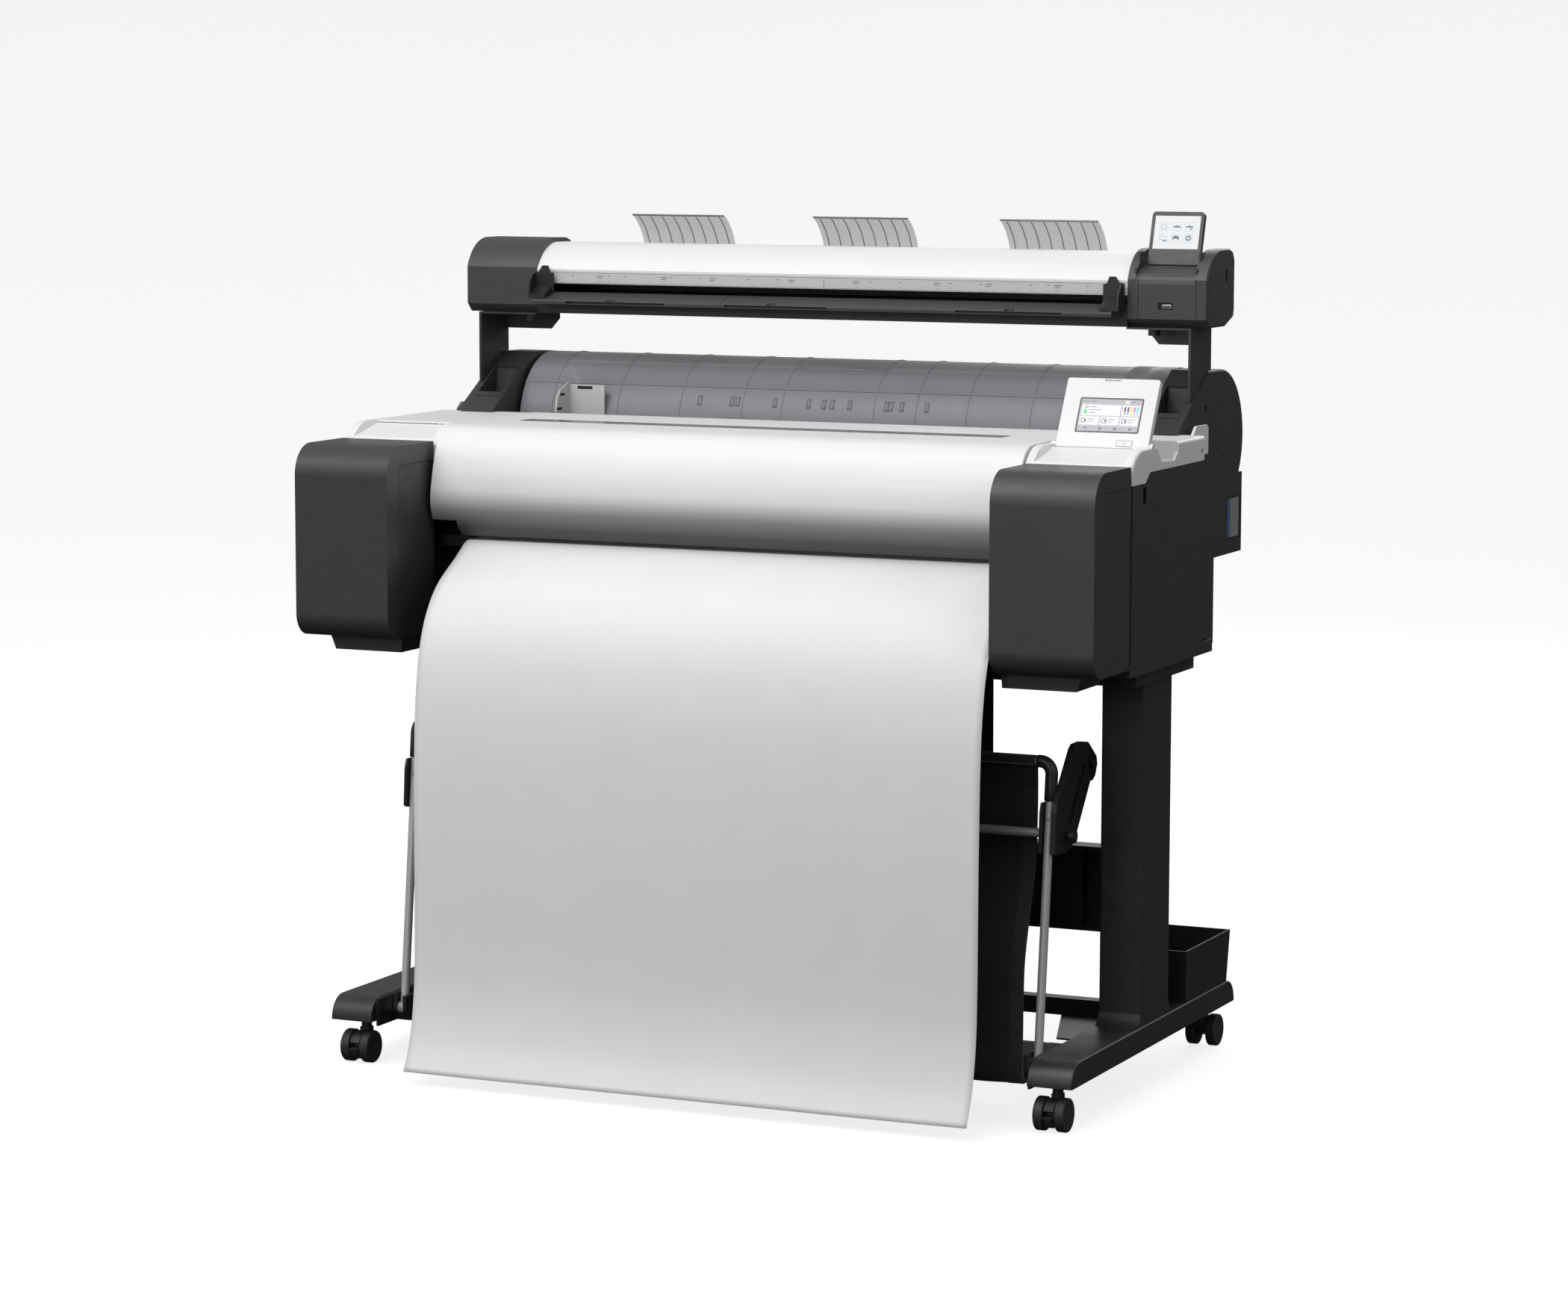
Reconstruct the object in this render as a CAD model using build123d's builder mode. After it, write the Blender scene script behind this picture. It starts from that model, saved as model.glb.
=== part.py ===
"""Large format inkjet plotter on a wheeled stand, with a scanner bar, roll unit, basket and loaded paper.

Frame: +X is to the right seen from the front, +Y points to the rear, +Z is up, and Z = 0 is the floor.
The origin is under the middle of the whole machine. All lengths are millimetres. A "depth" is measured
to the rear from the front face of the ink tank covers, which stands at Y = FRONT.
"""

from build123d import *
import os
from math import cos, hypot, radians, sin, tan

os.makedirs("parts", exist_ok=True)

# ------------------------------------------------------------------ driving dimensions
FRONT = -346.5              # Y of the ink tank covers' front face
HALF_WIDTH = 644.5          # half of the printer's width
WALL = 2.5                  # usual moulded wall
GAP = 0.3                   # clearance between pieces that move past each other

# stand
FOOT_X = (537.5, 607.5)
FOOT_DEPTHS = (29.0, 751.0)
FOOT_Z = (68.0, 104.0)
COLLAR_TOP = 124.0
COLUMN_X = (540.0, 606.0)
COLUMN_DEPTHS = (320.0, 444.0)
BASE_BOTTOM = 624.0

# casters
CASTER_X = 570.0
CASTER_STEM_DEPTHS = {"front": 73.0, "rear": 700.4}
CASTER_TRAIL = {"front": -18.0, "rear": 18.0}
WHEEL_RADIUS = 25.0
WHEEL_WIDTH = 15.0
WHEEL_OFFSET = 16.4
AXLE_RADIUS = 3.0
STEM_RADIUS = 5.0
FIT = 0.05                  # radial clearance of a running fit

# basket
BASKET_PIVOT = (110.5, 78.0)
BASKET_LEAN = 6.2
BASKET_ROD_X = 524.0
BASKET_ROD_LENGTH = 445.0
TUBE_RADIUS = 6.5
ARM_PIVOT = (147.5, 417.0)

# printer body
BASE_TOP = 668.0
SKIRT_BOTTOM = 647.0          # the rear casing reaches lower behind the base
SHOULDER_Z = 977.0
SHOULDER_X = 480.0
BODY_REAR = 470.0
COVER_HALF = 478.0
COVER_HINGE = (463.0, 973.0)
BAY_X = (486.0, HALF_WIDTH)
BAY_REAR = 148.0
BAY_Z = (662.0, 954.0)
BAND_FRONT = 36.5           # front band of the ink cover, seen from the side
BAND_TOP = 925.3            # lower edge of its top band
INK_HINGE = (143.0, 949.0)

# operation panel
PANEL_FOOT = (232.0, 975.0)
PANEL_LEAN = 28.9
PANEL_X = (495.5, 639.0)
PANEL_HEIGHT = 109.5
PANEL_HINGE = (241.0, 973.5)

# roll unit
ROLL_AXIS = (645.0, 915.0)
ROLL_COVER_AXIS = (650.0, 950.0)
ROLL_COVER_RADIUS = 115.0
ROLL_CASING_X = (545.0, 606.0)
PAPER_X = (-428.0, 484.8)
PAPER_THICKNESS = 1.2
FEED_NIP = (345.0, 859.6)
FEED_RADIUS = 10.0
PAPER_SLOPE = 18.0

# scanner
SCAN_INNER = 500.0          # half width of the scanner's white cover
SCAN_OUTER = 626.5
SCAN_BOTTOM = 1133.0
SCAN_HINGE = (640.0, 1215.0)
POST_X = (599.0, 603.0)
POST_DEPTHS = (518.0, 612.0)
GUIDE_AXIS = (619.0, 1203.0)
GUIDE_RADIUS = 96.0
GUIDE_CENTRES = (-318.0, 0.0, 318.0)
GUIDE_WIDTH = 162.0
SCAN_PANEL_FOOT = (560.0, 1226.0)
SCAN_PANEL_LEAN = 17.4
SCAN_PANEL_X = (516.5, 600.0)


# ------------------------------------------------------------------ planes and small helpers
def side(x):
    """Plane seen along -X: sketch x is depth, sketch y is height, extrusion runs to +X."""
    return Plane(origin=(x, FRONT, 0), x_dir=(0, 1, 0), z_dir=(1, 0, 0))


def plan(z):
    """Plane seen from above: sketch x is X, sketch y is depth."""
    return Plane(origin=(0, FRONT, z), x_dir=(1, 0, 0), z_dir=(0, 0, 1))


def face(depth):
    """Plane seen from the front: sketch x is X, sketch y is height, extrusion runs forwards."""
    return Plane(origin=(0, FRONT + depth, 0), x_dir=(1, 0, 0), z_dir=(0, -1, 0))


def block(xs, depths, zs, mode=Mode.ADD):
    """A box between two widths, two depths and two heights."""
    centre = ((xs[0] + xs[1]) / 2, FRONT + (depths[0] + depths[1]) / 2, (zs[0] + zs[1]) / 2)
    with Locations(centre):
        Box(xs[1] - xs[0], depths[1] - depths[0], zs[1] - zs[0], mode=mode)


def prism(points, xs, mode=Mode.ADD):
    """A side view outline of straight lines, carried from one width to another."""
    with BuildSketch(side(xs[0])) as outline:
        with BuildLine():
            Polyline(*points, close=True)
        make_face()
    extrude(outline.sketch, amount=xs[1] - xs[0], mode=mode)


def rod(radius, centre, xs, mode=Mode.ADD):
    """A round bar along X, centred on a depth and a height."""
    with BuildSketch(side(xs[0])) as section:
        with Locations(centre):
            Circle(radius)
    extrude(section.sketch, amount=xs[1] - xs[0], mode=mode)


def post(radius, x, depth, zs, mode=Mode.ADD):
    """A round bar along Z."""
    with BuildSketch(plan(zs[0])) as section:
        with Locations((x, depth)):
            Circle(radius)
    extrude(section.sketch, amount=zs[1] - zs[0], mode=mode)


def on_circle(centre, radius, angle):
    """The depth and height of a point on a circle, with its angle from the rear towards the top."""
    return (centre[0] + radius * cos(radians(angle)), centre[1] + radius * sin(radians(angle)))


def ring_sector(centre, radii, angles, xs, mode=Mode.ADD):
    """A curved wall about an axis along X, between two radii and two angles."""
    middle = (angles[0] + angles[1]) / 2
    with BuildSketch(side(xs[0])) as outline:
        with BuildLine():
            outer = ThreePointArc(*[on_circle(centre, radii[1], a) for a in (angles[0], middle, angles[1])])
            inner = ThreePointArc(*[on_circle(centre, radii[0], a) for a in (angles[0], middle, angles[1])])
            Line(outer @ 0, inner @ 0)
            Line(outer @ 1, inner @ 1)
        make_face()
    extrude(outline.sketch, amount=xs[1] - xs[0], mode=mode)


def shifted(points, amount):
    """The same line of points moved sideways, to the left of its direction of travel."""
    moved = []
    for i, point in enumerate(points):
        before = points[max(i - 1, 0)]
        after = points[min(i + 1, len(points) - 1)]
        length = hypot(after[0] - before[0], after[1] - before[1])
        moved.append((point[0] - amount * (after[1] - before[1]) / length,
                      point[1] + amount * (after[0] - before[0]) / length))
    return moved


def save(part, name):
    part.label = name
    export_step(part, f"parts/{name}.step")


def save_pair(name, right):
    """Writes the right hand piece and its mirror image on the left."""
    save(right, f"right_{name}")
    with BuildPart() as left:
        mirror(right, about=Plane.YZ)
    save(left.part, f"left_{name}")


# ------------------------------------------------------------------ stand: feet and columns
with BuildPart() as right_foot:
    with BuildSketch(side(FOOT_X[0])):
        with BuildLine():
            Polyline((FOOT_DEPTHS[0], FOOT_Z[0]), (FOOT_DEPTHS[1], FOOT_Z[0]),
                     (FOOT_DEPTHS[1], FOOT_Z[1]), (FOOT_DEPTHS[0], FOOT_Z[1]), close=True)
        beam = make_face()
        fillet(beam.vertices().group_by(Axis.Y)[-1], 34)
    extrude(amount=FOOT_X[1] - FOOT_X[0])
    cheeks = right_foot.faces().filter_by(Axis.X)
    rim = cheeks.edges().filter_by(lambda e: e.center().Z > FOOT_Z[0] + 0.5)
    fillet(rim, 2.5)
    with BuildSketch(side(COLUMN_X[0])):
        with BuildLine():
            Line((290, FOOT_Z[1] - 1), (474, FOOT_Z[1] - 1))
            Line((474, FOOT_Z[1] - 1), (474, FOOT_Z[1]))
            ThreePointArc((474, FOOT_Z[1]), (453, 109), (COLUMN_DEPTHS[1], COLLAR_TOP))
            Line((COLUMN_DEPTHS[1], COLLAR_TOP), (COLUMN_DEPTHS[0], COLLAR_TOP))
            ThreePointArc((COLUMN_DEPTHS[0], COLLAR_TOP), (311, 109), (290, FOOT_Z[1]))
            Line((290, FOOT_Z[1]), (290, FOOT_Z[1] - 1))
        make_face()
    extrude(amount=COLUMN_X[1] - COLUMN_X[0])
    block((FOOT_X[0] + 3, FOOT_X[1] - 3), (60, 720), (FOOT_Z[0], 100.5), Mode.SUBTRACT)
    for depth in CASTER_STEM_DEPTHS.values():
        post(12, CASTER_X, depth, (FOOT_Z[0], 100.5))
        post(STEM_RADIUS + FIT, CASTER_X, depth, (FOOT_Z[0], 98), Mode.SUBTRACT)
save_pair("foot", right_foot.part)

with BuildPart() as right_column:
    block(COLUMN_X, COLUMN_DEPTHS, (COLLAR_TOP, BASE_BOTTOM))
    fillet(right_column.edges().filter_by(Axis.Z), 2.5)
    block((COLUMN_X[0] + WALL, COLUMN_X[1] - WALL), (COLUMN_DEPTHS[0] + WALL, COLUMN_DEPTHS[1] - WALL),
          (COLLAR_TOP, BASE_BOTTOM), Mode.SUBTRACT)
save_pair("column", right_column.part)

CROSSBAR_DEPTHS = (486.0, 510.0)
CROSSBAR_Z = (77.0, 103.5)
with BuildPart() as lower_crossbar:
    block((-FOOT_X[0], FOOT_X[0]), CROSSBAR_DEPTHS, CROSSBAR_Z)
    block((-FOOT_X[0], FOOT_X[0]), (CROSSBAR_DEPTHS[0] + 2, CROSSBAR_DEPTHS[1] - 2),
          (CROSSBAR_Z[0] + 2, CROSSBAR_Z[1] - 2), Mode.SUBTRACT)
    for hand in (-1, 1):
        with BuildSketch(plan(CROSSBAR_Z[0])):
            with BuildLine():
                Polyline((hand * FOOT_X[0], 312), (hand * 476, 312), (hand * 418, CROSSBAR_DEPTHS[0] + 1),
                         (hand * FOOT_X[0], CROSSBAR_DEPTHS[0] + 1), close=True)
            make_face()
        extrude(amount=3)
save(lower_crossbar.part, "lower_crossbar")

STAY_DEPTHS = (402.0, 438.0)
STAY_Z = (228.0, 357.0)
with BuildPart() as rear_stay_panel:
    block((-COLUMN_X[0], COLUMN_X[0]), STAY_DEPTHS, STAY_Z)
    block((-COLUMN_X[0] + 6, COLUMN_X[0] - 6), (STAY_DEPTHS[0] + 2, STAY_DEPTHS[1] - 2),
          (STAY_Z[0] + 2, STAY_Z[1] - 2), Mode.SUBTRACT)
    for hand in (-1, 1):
        pocket = sorted((hand * 482, hand * 532))
        block(pocket, (STAY_DEPTHS[0] - 1, STAY_DEPTHS[0] + 3), (STAY_Z[0] + 8, STAY_Z[1] - 8), Mode.SUBTRACT)
        seam = sorted((hand * 473.4, hand * 474.6))
        block(seam, (STAY_DEPTHS[0] - 1, STAY_DEPTHS[0] + 1), (STAY_Z[0] - 1, STAY_Z[1] + 1), Mode.SUBTRACT)
save(rear_stay_panel.part, "rear_stay_panel")

TRAY_X = (478.0, 606.0)
with BuildPart() as accessory_tray:
    prism([(524, FOOT_Z[1]), (715, FOOT_Z[1]), (731, 184), (524, 184)], TRAY_X)
    prism([(526.5, FOOT_Z[1] + WALL), (713, FOOT_Z[1] + WALL), (728.8, 185), (526.5, 185)],
          (TRAY_X[0] + WALL, TRAY_X[1] - WALL), Mode.SUBTRACT)
save(accessory_tray.part, "accessory_tray")


# ------------------------------------------------------------------ casters
def make_fork(x, end):
    """Threaded stem, collar and the hood between the twin wheels, with their axle."""
    stem = CASTER_STEM_DEPTHS[end]
    axle = stem + CASTER_TRAIL[end]
    with BuildPart() as fork:
        post(STEM_RADIUS, x, stem, (44, 96))
        post(8, x, stem, (50, 60))
        ring_sector((axle, WHEEL_RADIUS), (8, 22.5), (20, 160), (x - 7.5, x + 7.5))
        prism([(stem - 8, 34), (stem + 8, 34), (stem + 8, 52), (stem - 8, 52)], (x - 7.5, x + 7.5))
        prism([(axle, WHEEL_RADIUS - 7), (axle, WHEEL_RADIUS + 21), (stem, 46), (stem, 24)], (x - 7.5, x + 7.5))
        rod(9, (axle, WHEEL_RADIUS), (x - 7.5, x + 7.5))
        rod(AXLE_RADIUS, (axle, WHEEL_RADIUS), (x - 21, x + 21))
    return fork.part


def make_wheels(x, end):
    """Twin tread wheels, each with a blind bore on the axle and a shallow ring on its outer face."""
    axle = (CASTER_STEM_DEPTHS[end] + CASTER_TRAIL[end], WHEEL_RADIUS)
    with BuildPart() as wheels:
        for hand in (-1, 1):
            centre = x + hand * WHEEL_OFFSET
            xs = (centre - WHEEL_WIDTH / 2, centre + WHEEL_WIDTH / 2)
            rod(WHEEL_RADIUS, axle, xs)
        fillet(wheels.edges().filter_by(GeomType.CIRCLE), 2.5)
        for hand in (-1, 1):
            centre = x + hand * WHEEL_OFFSET
            inner = sorted((centre - hand * (WHEEL_WIDTH / 2 + 1), x + hand * 21.3))
            rod(AXLE_RADIUS + FIT, axle, inner, Mode.SUBTRACT)
            outer = centre + hand * WHEEL_WIDTH / 2
            rod(13.5, axle, sorted((outer - hand * 0.6, outer + hand)), Mode.SUBTRACT)
            rod(12.7, axle, sorted((outer - hand * 0.7, outer - hand * 0.1)))
    return wheels.part


def make_lever(x):
    """Foot brake lever that turns about the front caster's axle hub."""
    axle = (CASTER_STEM_DEPTHS["front"] + CASTER_TRAIL["front"], WHEEL_RADIUS)
    with BuildPart() as lever:
        ring_sector(axle, (9.4, 22.5), (182, 232), (x - 7, x + 7))
        tip = on_circle(axle, 22.2, 184)
        prism([tip, (tip[0] - 5, tip[1] + 1), (tip[0] - 4, tip[1] - 3), (tip[0] + 2, tip[1] - 5)], (x - 7, x + 7))
    return lever.part


for hand_name, hand in (("left", -1), ("right", 1)):
    for end in ("front", "rear"):
        save(make_fork(hand * CASTER_X, end), f"{end}_{hand_name}_caster_fork")
        save(make_wheels(hand * CASTER_X, end), f"{end}_{hand_name}_caster_wheels")
    save(make_lever(hand * CASTER_X), f"front_{hand_name}_caster_lever")

# ------------------------------------------------------------------ basket
CLAMP_X = (509.5, 533.5)
SLOT_X = (BASKET_ROD_X - 8.2, BASKET_ROD_X + 8.2)
HUB_RADIUS = 9.0
PIN_RADIUS = 4.0
with BuildPart() as basket_clamps:
    for hand in (-1, 1):
        plate = sorted((hand * CLAMP_X[1], hand * FOOT_X[0]))
        block(plate, (45, 150), (60, 102))
        housing = sorted((hand * CLAMP_X[0], hand * CLAMP_X[1]))
        rod(21, (BASKET_PIVOT[0], 80), housing)
        block(housing, (BASKET_PIVOT[0] - 21, BASKET_PIVOT[0] + 21), (80, 100))
        slot = sorted((hand * SLOT_X[0], hand * SLOT_X[1]))
        block(slot, (80, 140), (66, 101), Mode.SUBTRACT)
        rod(PIN_RADIUS, BASKET_PIVOT, housing)
save(basket_clamps.part, "basket_clamps")

lean = radians(BASKET_LEAN)
frame_plane = Plane(origin=(0, FRONT + BASKET_PIVOT[0], BASKET_PIVOT[1]), x_dir=(1, 0, 0),
                    z_dir=(0, -cos(lean), sin(lean)))
with BuildPart() as basket_frame:
    with BuildLine(frame_plane) as frame_path:
        FilletPolyline((BASKET_ROD_X, 0), (BASKET_ROD_X, BASKET_ROD_LENGTH),
                       (-BASKET_ROD_X, BASKET_ROD_LENGTH), (-BASKET_ROD_X, 0), radius=18)
    with BuildSketch(Plane(origin=frame_path.line @ 0, z_dir=frame_path.line % 0)):
        Circle(TUBE_RADIUS)
        Circle(TUBE_RADIUS - 1.3, mode=Mode.SUBTRACT)
    sweep()
    for hand in (-1, 1):
        hub = sorted((hand * (BASKET_ROD_X - 7.9), hand * (BASKET_ROD_X + 7.9)))
        rod(HUB_RADIUS, BASKET_PIVOT, hub)
        rod(PIN_RADIUS + FIT, BASKET_PIVOT, hub, Mode.SUBTRACT)
        rod(2.5 + FIT, ARM_PIVOT, sorted((hand * 512, hand * 536)), Mode.SUBTRACT)
save(basket_frame.part, "basket_frame")

ARM_SHORT = (-11.0, -7.2)     # short plate and long plate, on either side of the tube
ARM_LONG = (7.2, 15.4)
with BuildPart() as basket_cross_rod:
    rod(6.7, ARM_PIVOT, (-BASKET_ROD_X + ARM_LONG[1], BASKET_ROD_X + ARM_SHORT[0]))
save(basket_cross_rod.part, "basket_cross_rod")

CLIP_OUTLINE = [(132, 390), (140, 387), (168, 385), (168, 462), (141, 462), (136, 449)]
ARM_OUTLINE = [(132, 390), (140, 387), (177, 385.5), (196, 389), (213, 398), (277, 478), (285, 476.5), (297, 483),
               (305, 499), (302, 511), (266, 537), (240, 540.5), (213, 540), (203, 534), (141, 462), (136, 449)]
KNOB = (182.0, 409.0)


def make_arm(x, with_knob):
    """Arm clipped on the basket's tube at x; the long plate is on the same side of both tubes."""
    with BuildPart() as arm:
        prism(CLIP_OUTLINE, (x + ARM_SHORT[0], x + ARM_SHORT[1]))
        prism(ARM_OUTLINE, (x + ARM_LONG[0], x + ARM_LONG[1]))
        prism([(160, 426), (167, 426), (167, 458), (163, 458)], (x + ARM_SHORT[1] - 1, x + ARM_LONG[0] + 0.8))
        prism([(186, 432), (193, 425), (255, 501), (247, 507)], (x + 11.6, x + 17), Mode.SUBTRACT)
        prism([(266, 502), (284, 487), (291, 495), (273, 511)], (x + 6, x + 17), Mode.SUBTRACT)
        rod(2.5, ARM_PIVOT, (x + ARM_SHORT[0] + 1, x + 9))
        if with_knob:
            rod(4, KNOB, (x + 14, x + 22))
            rod(10, KNOB, (x + 21, x + 28))
    return arm.part


save(make_arm(BASKET_ROD_X, True), "right_basket_arm")
save(make_arm(-BASKET_ROD_X, False), "left_basket_arm")

CLOTH_HALF = 505.0
STRAP_HALF = 375.0
CLOTH = 2.0
tube_top = (BASKET_PIVOT[0] + BASKET_ROD_LENGTH * sin(lean), BASKET_PIVOT[1] + BASKET_ROD_LENGTH * cos(lean))
FRONT_FALL = [(164, 512), (165.5, 440), (161, 378), (150, 340), (121, 240), (115, 173), (112, 95), (110, 58)]
BOTTOM_RUN = [(114, 51), (150, 53), (220, 62), (285, 78)]
REAR_RISE = [(296, 100), (302, 180), (304, 400), (302, 622)]


with BuildPart() as basket_cloth:
    rod(TUBE_RADIUS + 2.2, tube_top, (-CLOTH_HALF + 5, CLOTH_HALF - 5))
    front_line = FRONT_FALL + BOTTOM_RUN
    prism(front_line + shifted(front_line, CLOTH)[::-1], (-CLOTH_HALF + 5, CLOTH_HALF - 5))
    rear_line = [BOTTOM_RUN[-1]] + REAR_RISE
    prism(rear_line + shifted(rear_line, CLOTH)[::-1], (-STRAP_HALF, STRAP_HALF))
    rod(TUBE_RADIUS + GAP, tube_top, (-CLOTH_HALF, CLOTH_HALF), Mode.SUBTRACT)
save(basket_cloth.part, "basket_cloth")

# ------------------------------------------------------------------ base and side panels
with BuildPart() as base_casing:
    block((-HALF_WIDTH, HALF_WIDTH), (151, 513), (649.5, BASE_TOP))
    block((-620, 620), (245, 500), (BASE_BOTTOM, 650))
    block((-617, 617), (248, 497), (BASE_BOTTOM + 3, BASE_TOP), Mode.SUBTRACT)
    block((-HALF_WIDTH + 3, HALF_WIDTH - 3), (154, 510), (652.5, BASE_TOP), Mode.SUBTRACT)
save(base_casing.part, "base_casing")

with BuildPart() as right_side_panel:
    prism([(154, BASE_TOP), (BODY_REAR, BASE_TOP), (BODY_REAR, 940.7), (228, 940.7), (208, 926), (154, 926)],
          (610, HALF_WIDTH))
    prism([(156.5, BASE_TOP + WALL), (467.5, BASE_TOP + WALL), (467.5, 938.2), (229, 938.2), (209, 923.5),
           (156.5, 923.5)], (609, HALF_WIDTH - WALL), Mode.SUBTRACT)
    block((HALF_WIDTH - WALL - 1, HALF_WIDTH + 1), (200, 212), (897, 921), Mode.SUBTRACT)
save_pair("side_panel", right_side_panel.part)


# ------------------------------------------------------------------ white shoulder covers
def make_shoulder(with_panel_pocket):
    """Rounded white top of a side compartment, behind an ink block; the right one holds the panel."""
    with BuildPart() as shoulder:
        with BuildSketch(side(SHOULDER_X)):
            with BuildLine():
                Polyline((205, SHOULDER_Z), (BODY_REAR, SHOULDER_Z), (BODY_REAR, 941), (228, 941), (208, 926.3),
                         (150.6, 926.3), (150.6, 948))
                ThreePointArc((150.6, 948), (172, 969), (205, SHOULDER_Z))
            make_face()
        extrude(amount=HALF_WIDTH - SHOULDER_X)
        crest = shoulder.edges().filter_by(lambda e: e.center().Z > 948 and abs(e.center().X - HALF_WIDTH) < 0.1)
        fillet(crest, 5)
        prism([(149, 954.5), (229, 973), (229, 990), (149, 990)], (492, 630), Mode.SUBTRACT)
        block((483, 641.5), (153.6, 226), (920, 947), Mode.SUBTRACT)
        block((483, 641.5), (220, 467), (935, 947), Mode.SUBTRACT)
        block((483, 641.5), (353, 467), (940, SHOULDER_Z - 3), Mode.SUBTRACT)
        if with_panel_pocket:
            block((492, 639.6), (229, 349.5), (950, 990), Mode.SUBTRACT)
            prism([(254, 990), (254, 975), (268, 961), (279, 952), (333, 950), (349.5, 962), (349.5, 990)],
                  (639, 646), Mode.SUBTRACT)
            block((488, 495.2), (234, 248), (950, 977))
            rod(7, PANEL_HINGE, (488, 495.2))
            rod(7, PANEL_HINGE, (639.4, HALF_WIDTH))
            rod(2.5 + FIT, PANEL_HINGE, (486, 643), Mode.SUBTRACT)
        else:
            block((483, 641.5), (229, 355), (940, SHOULDER_Z - 3), Mode.SUBTRACT)
        rod(4.5, (456, 955), (641, 646), Mode.SUBTRACT)
        prism([(BODY_REAR - 3, 945), (540, 945), (540, 984), (534, 989), (486, 989), (BODY_REAR - 3, 974)], (621, 625))
    return shoulder.part


save(make_shoulder(True), "right_shoulder_cover")
with BuildPart() as left_shoulder:
    mirror(make_shoulder(False), about=Plane.YZ)
save(left_shoulder.part, "left_shoulder_cover")

# ------------------------------------------------------------------ top cover and its window
TOP_Z = 978.0
NOSE = [(200, TOP_Z), (182, 977), (164, 972), (146, 953), (134, 927), (126, 897), (121.5, 873), (122, 857),
        (126.5, 842), (135, 827), (148, 812)]
with BuildPart() as top_cover:
    with BuildSketch(side(-COVER_HALF)):
        with BuildLine():
            nose_inner = shifted(NOSE, 3)
            Spline(*NOSE)
            Line(NOSE[-1], nose_inner[-1])
            Spline(*nose_inner)
            Polyline(nose_inner[0], (458, TOP_Z - 3), (458, 968), (468, 968), (468, TOP_Z), NOSE[0])
        make_face()
    extrude(amount=2 * COVER_HALF)
    for hand in (-1, 1):
        cheek = sorted((hand * (COVER_HALF - 3), hand * COVER_HALF))
        prism([(188, 976), (163, 970), (146, 947), (131, 910), (124, 873), (127, 855), (140, 836), (160, 836),
               (230, 930), (380, 960), (380, 976)], cheek)
    for hand in (-1, 1):
        ear = sorted((hand * 438, hand * (COVER_HALF + 1)))
        block(ear, (110, 240), (780, 836), Mode.SUBTRACT)
    block((-418, 388), (293, 343), (960, 990), Mode.SUBTRACT)
    for x in (-440, 400):
        prism([(455, 966), (467.5, 966), (467.5, 976), (448, 976)], (x, x + 20))
    rod(2.5 + FIT, COVER_HINGE, (-480, 480), Mode.SUBTRACT)
save(top_cover.part, "top_cover")

with BuildPart() as cover_window:
    block((-417.8, 387.8), (293.2, 342.8), (975.2, 977.6))
save(cover_window.part, "cover_window")

# ------------------------------------------------------------------ ink bays, covers and tanks
with BuildPart() as right_ink_bay:
    block((BAY_X[0], BAY_X[1]), (BAND_FRONT + GAP, BAY_REAR), (BAY_Z[0], BAND_TOP - 0.7))
    fillet(right_ink_bay.edges().filter_by(Axis.X).group_by(Axis.Z)[-1].sort_by(Axis.Y)[0], 8)
    block((BAY_X[0] + WALL, BAY_X[1] - WALL), (BAND_FRONT - 1, BAY_REAR - WALL),
          (BAY_Z[0] + WALL, BAND_TOP - 0.7 - WALL), Mode.SUBTRACT)
    block((500, 609), (BAY_REAR - 1, 153.5), (675, 900))
    with BuildSketch(face(140)):
        with BuildLine():
            Polyline((487, BAY_Z[0]), (611, BAY_Z[0]), (602, 640), (489, 640), close=True)
        make_face()
    extrude(amount=94)
    for x in (506, 619):
        block((x, x + 6), (INK_HINGE[0] - 2, INK_HINGE[0] + 2), (BAND_TOP - 2, INK_HINGE[1]))
        rod(2, INK_HINGE, (x - 7, x + 13))
save_pair("ink_bay", right_ink_bay.part)

with BuildPart() as right_ink_cover:
    with BuildSketch(side(BAY_X[0])) as cover_outline:
        with BuildLine():
            Polyline((0, BAY_Z[0]), (147.5, BAY_Z[0]), (147.5, BAY_Z[1]), (0, BAY_Z[1]), close=True)
        shell = make_face()
        corners = shell.vertices().group_by(Axis.X)[0].sort_by(Axis.Y)
        fillet(corners[0], 35)
        fillet(cover_outline.vertices().sort_by(lambda v: v.X - v.Y)[0:1], 47)
    extrude(amount=BAY_X[1] - BAY_X[0])
    with BuildSketch(side(BAY_X[0] + WALL)) as hollow_outline:
        with BuildLine():
            Polyline((WALL, BAY_Z[0] + WALL), (160, BAY_Z[0] + WALL), (160, BAY_Z[1] - WALL), (WALL, BAY_Z[1] - WALL),
                     close=True)
        make_face()
        fillet(hollow_outline.vertices().sort_by(Axis.X)[0:2].sort_by(Axis.Y)[0], 35 - WALL)
        fillet(hollow_outline.vertices().sort_by(lambda v: v.X - v.Y)[0:1], 47 - WALL)
    extrude(amount=BAY_X[1] - BAY_X[0] - 2 * WALL, mode=Mode.SUBTRACT)
    with BuildSketch(side(BAY_X[0] - 1)) as cutaway:
        with BuildLine():
            Polyline((BAND_FRONT, 650), (160, 650), (160, BAND_TOP), (BAND_FRONT, BAND_TOP), close=True)
        make_face()
        fillet(cutaway.vertices().sort_by(lambda v: v.X - v.Y)[0:1], 9)
    extrude(amount=BAY_X[1] - BAY_X[0] + 2, mode=Mode.SUBTRACT)
    for x in (500, 613, 512.4, 625.4):
        block((x, x + 5.6), (INK_HINGE[0] - 4, 147), (INK_HINGE[1] - 4, BAY_Z[1] - WALL + 0.5))
    for x in (498, 611):
        rod(2 + FIT, INK_HINGE, (x, x + 22), Mode.SUBTRACT)
save_pair("ink_cover", right_ink_cover.part)

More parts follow.
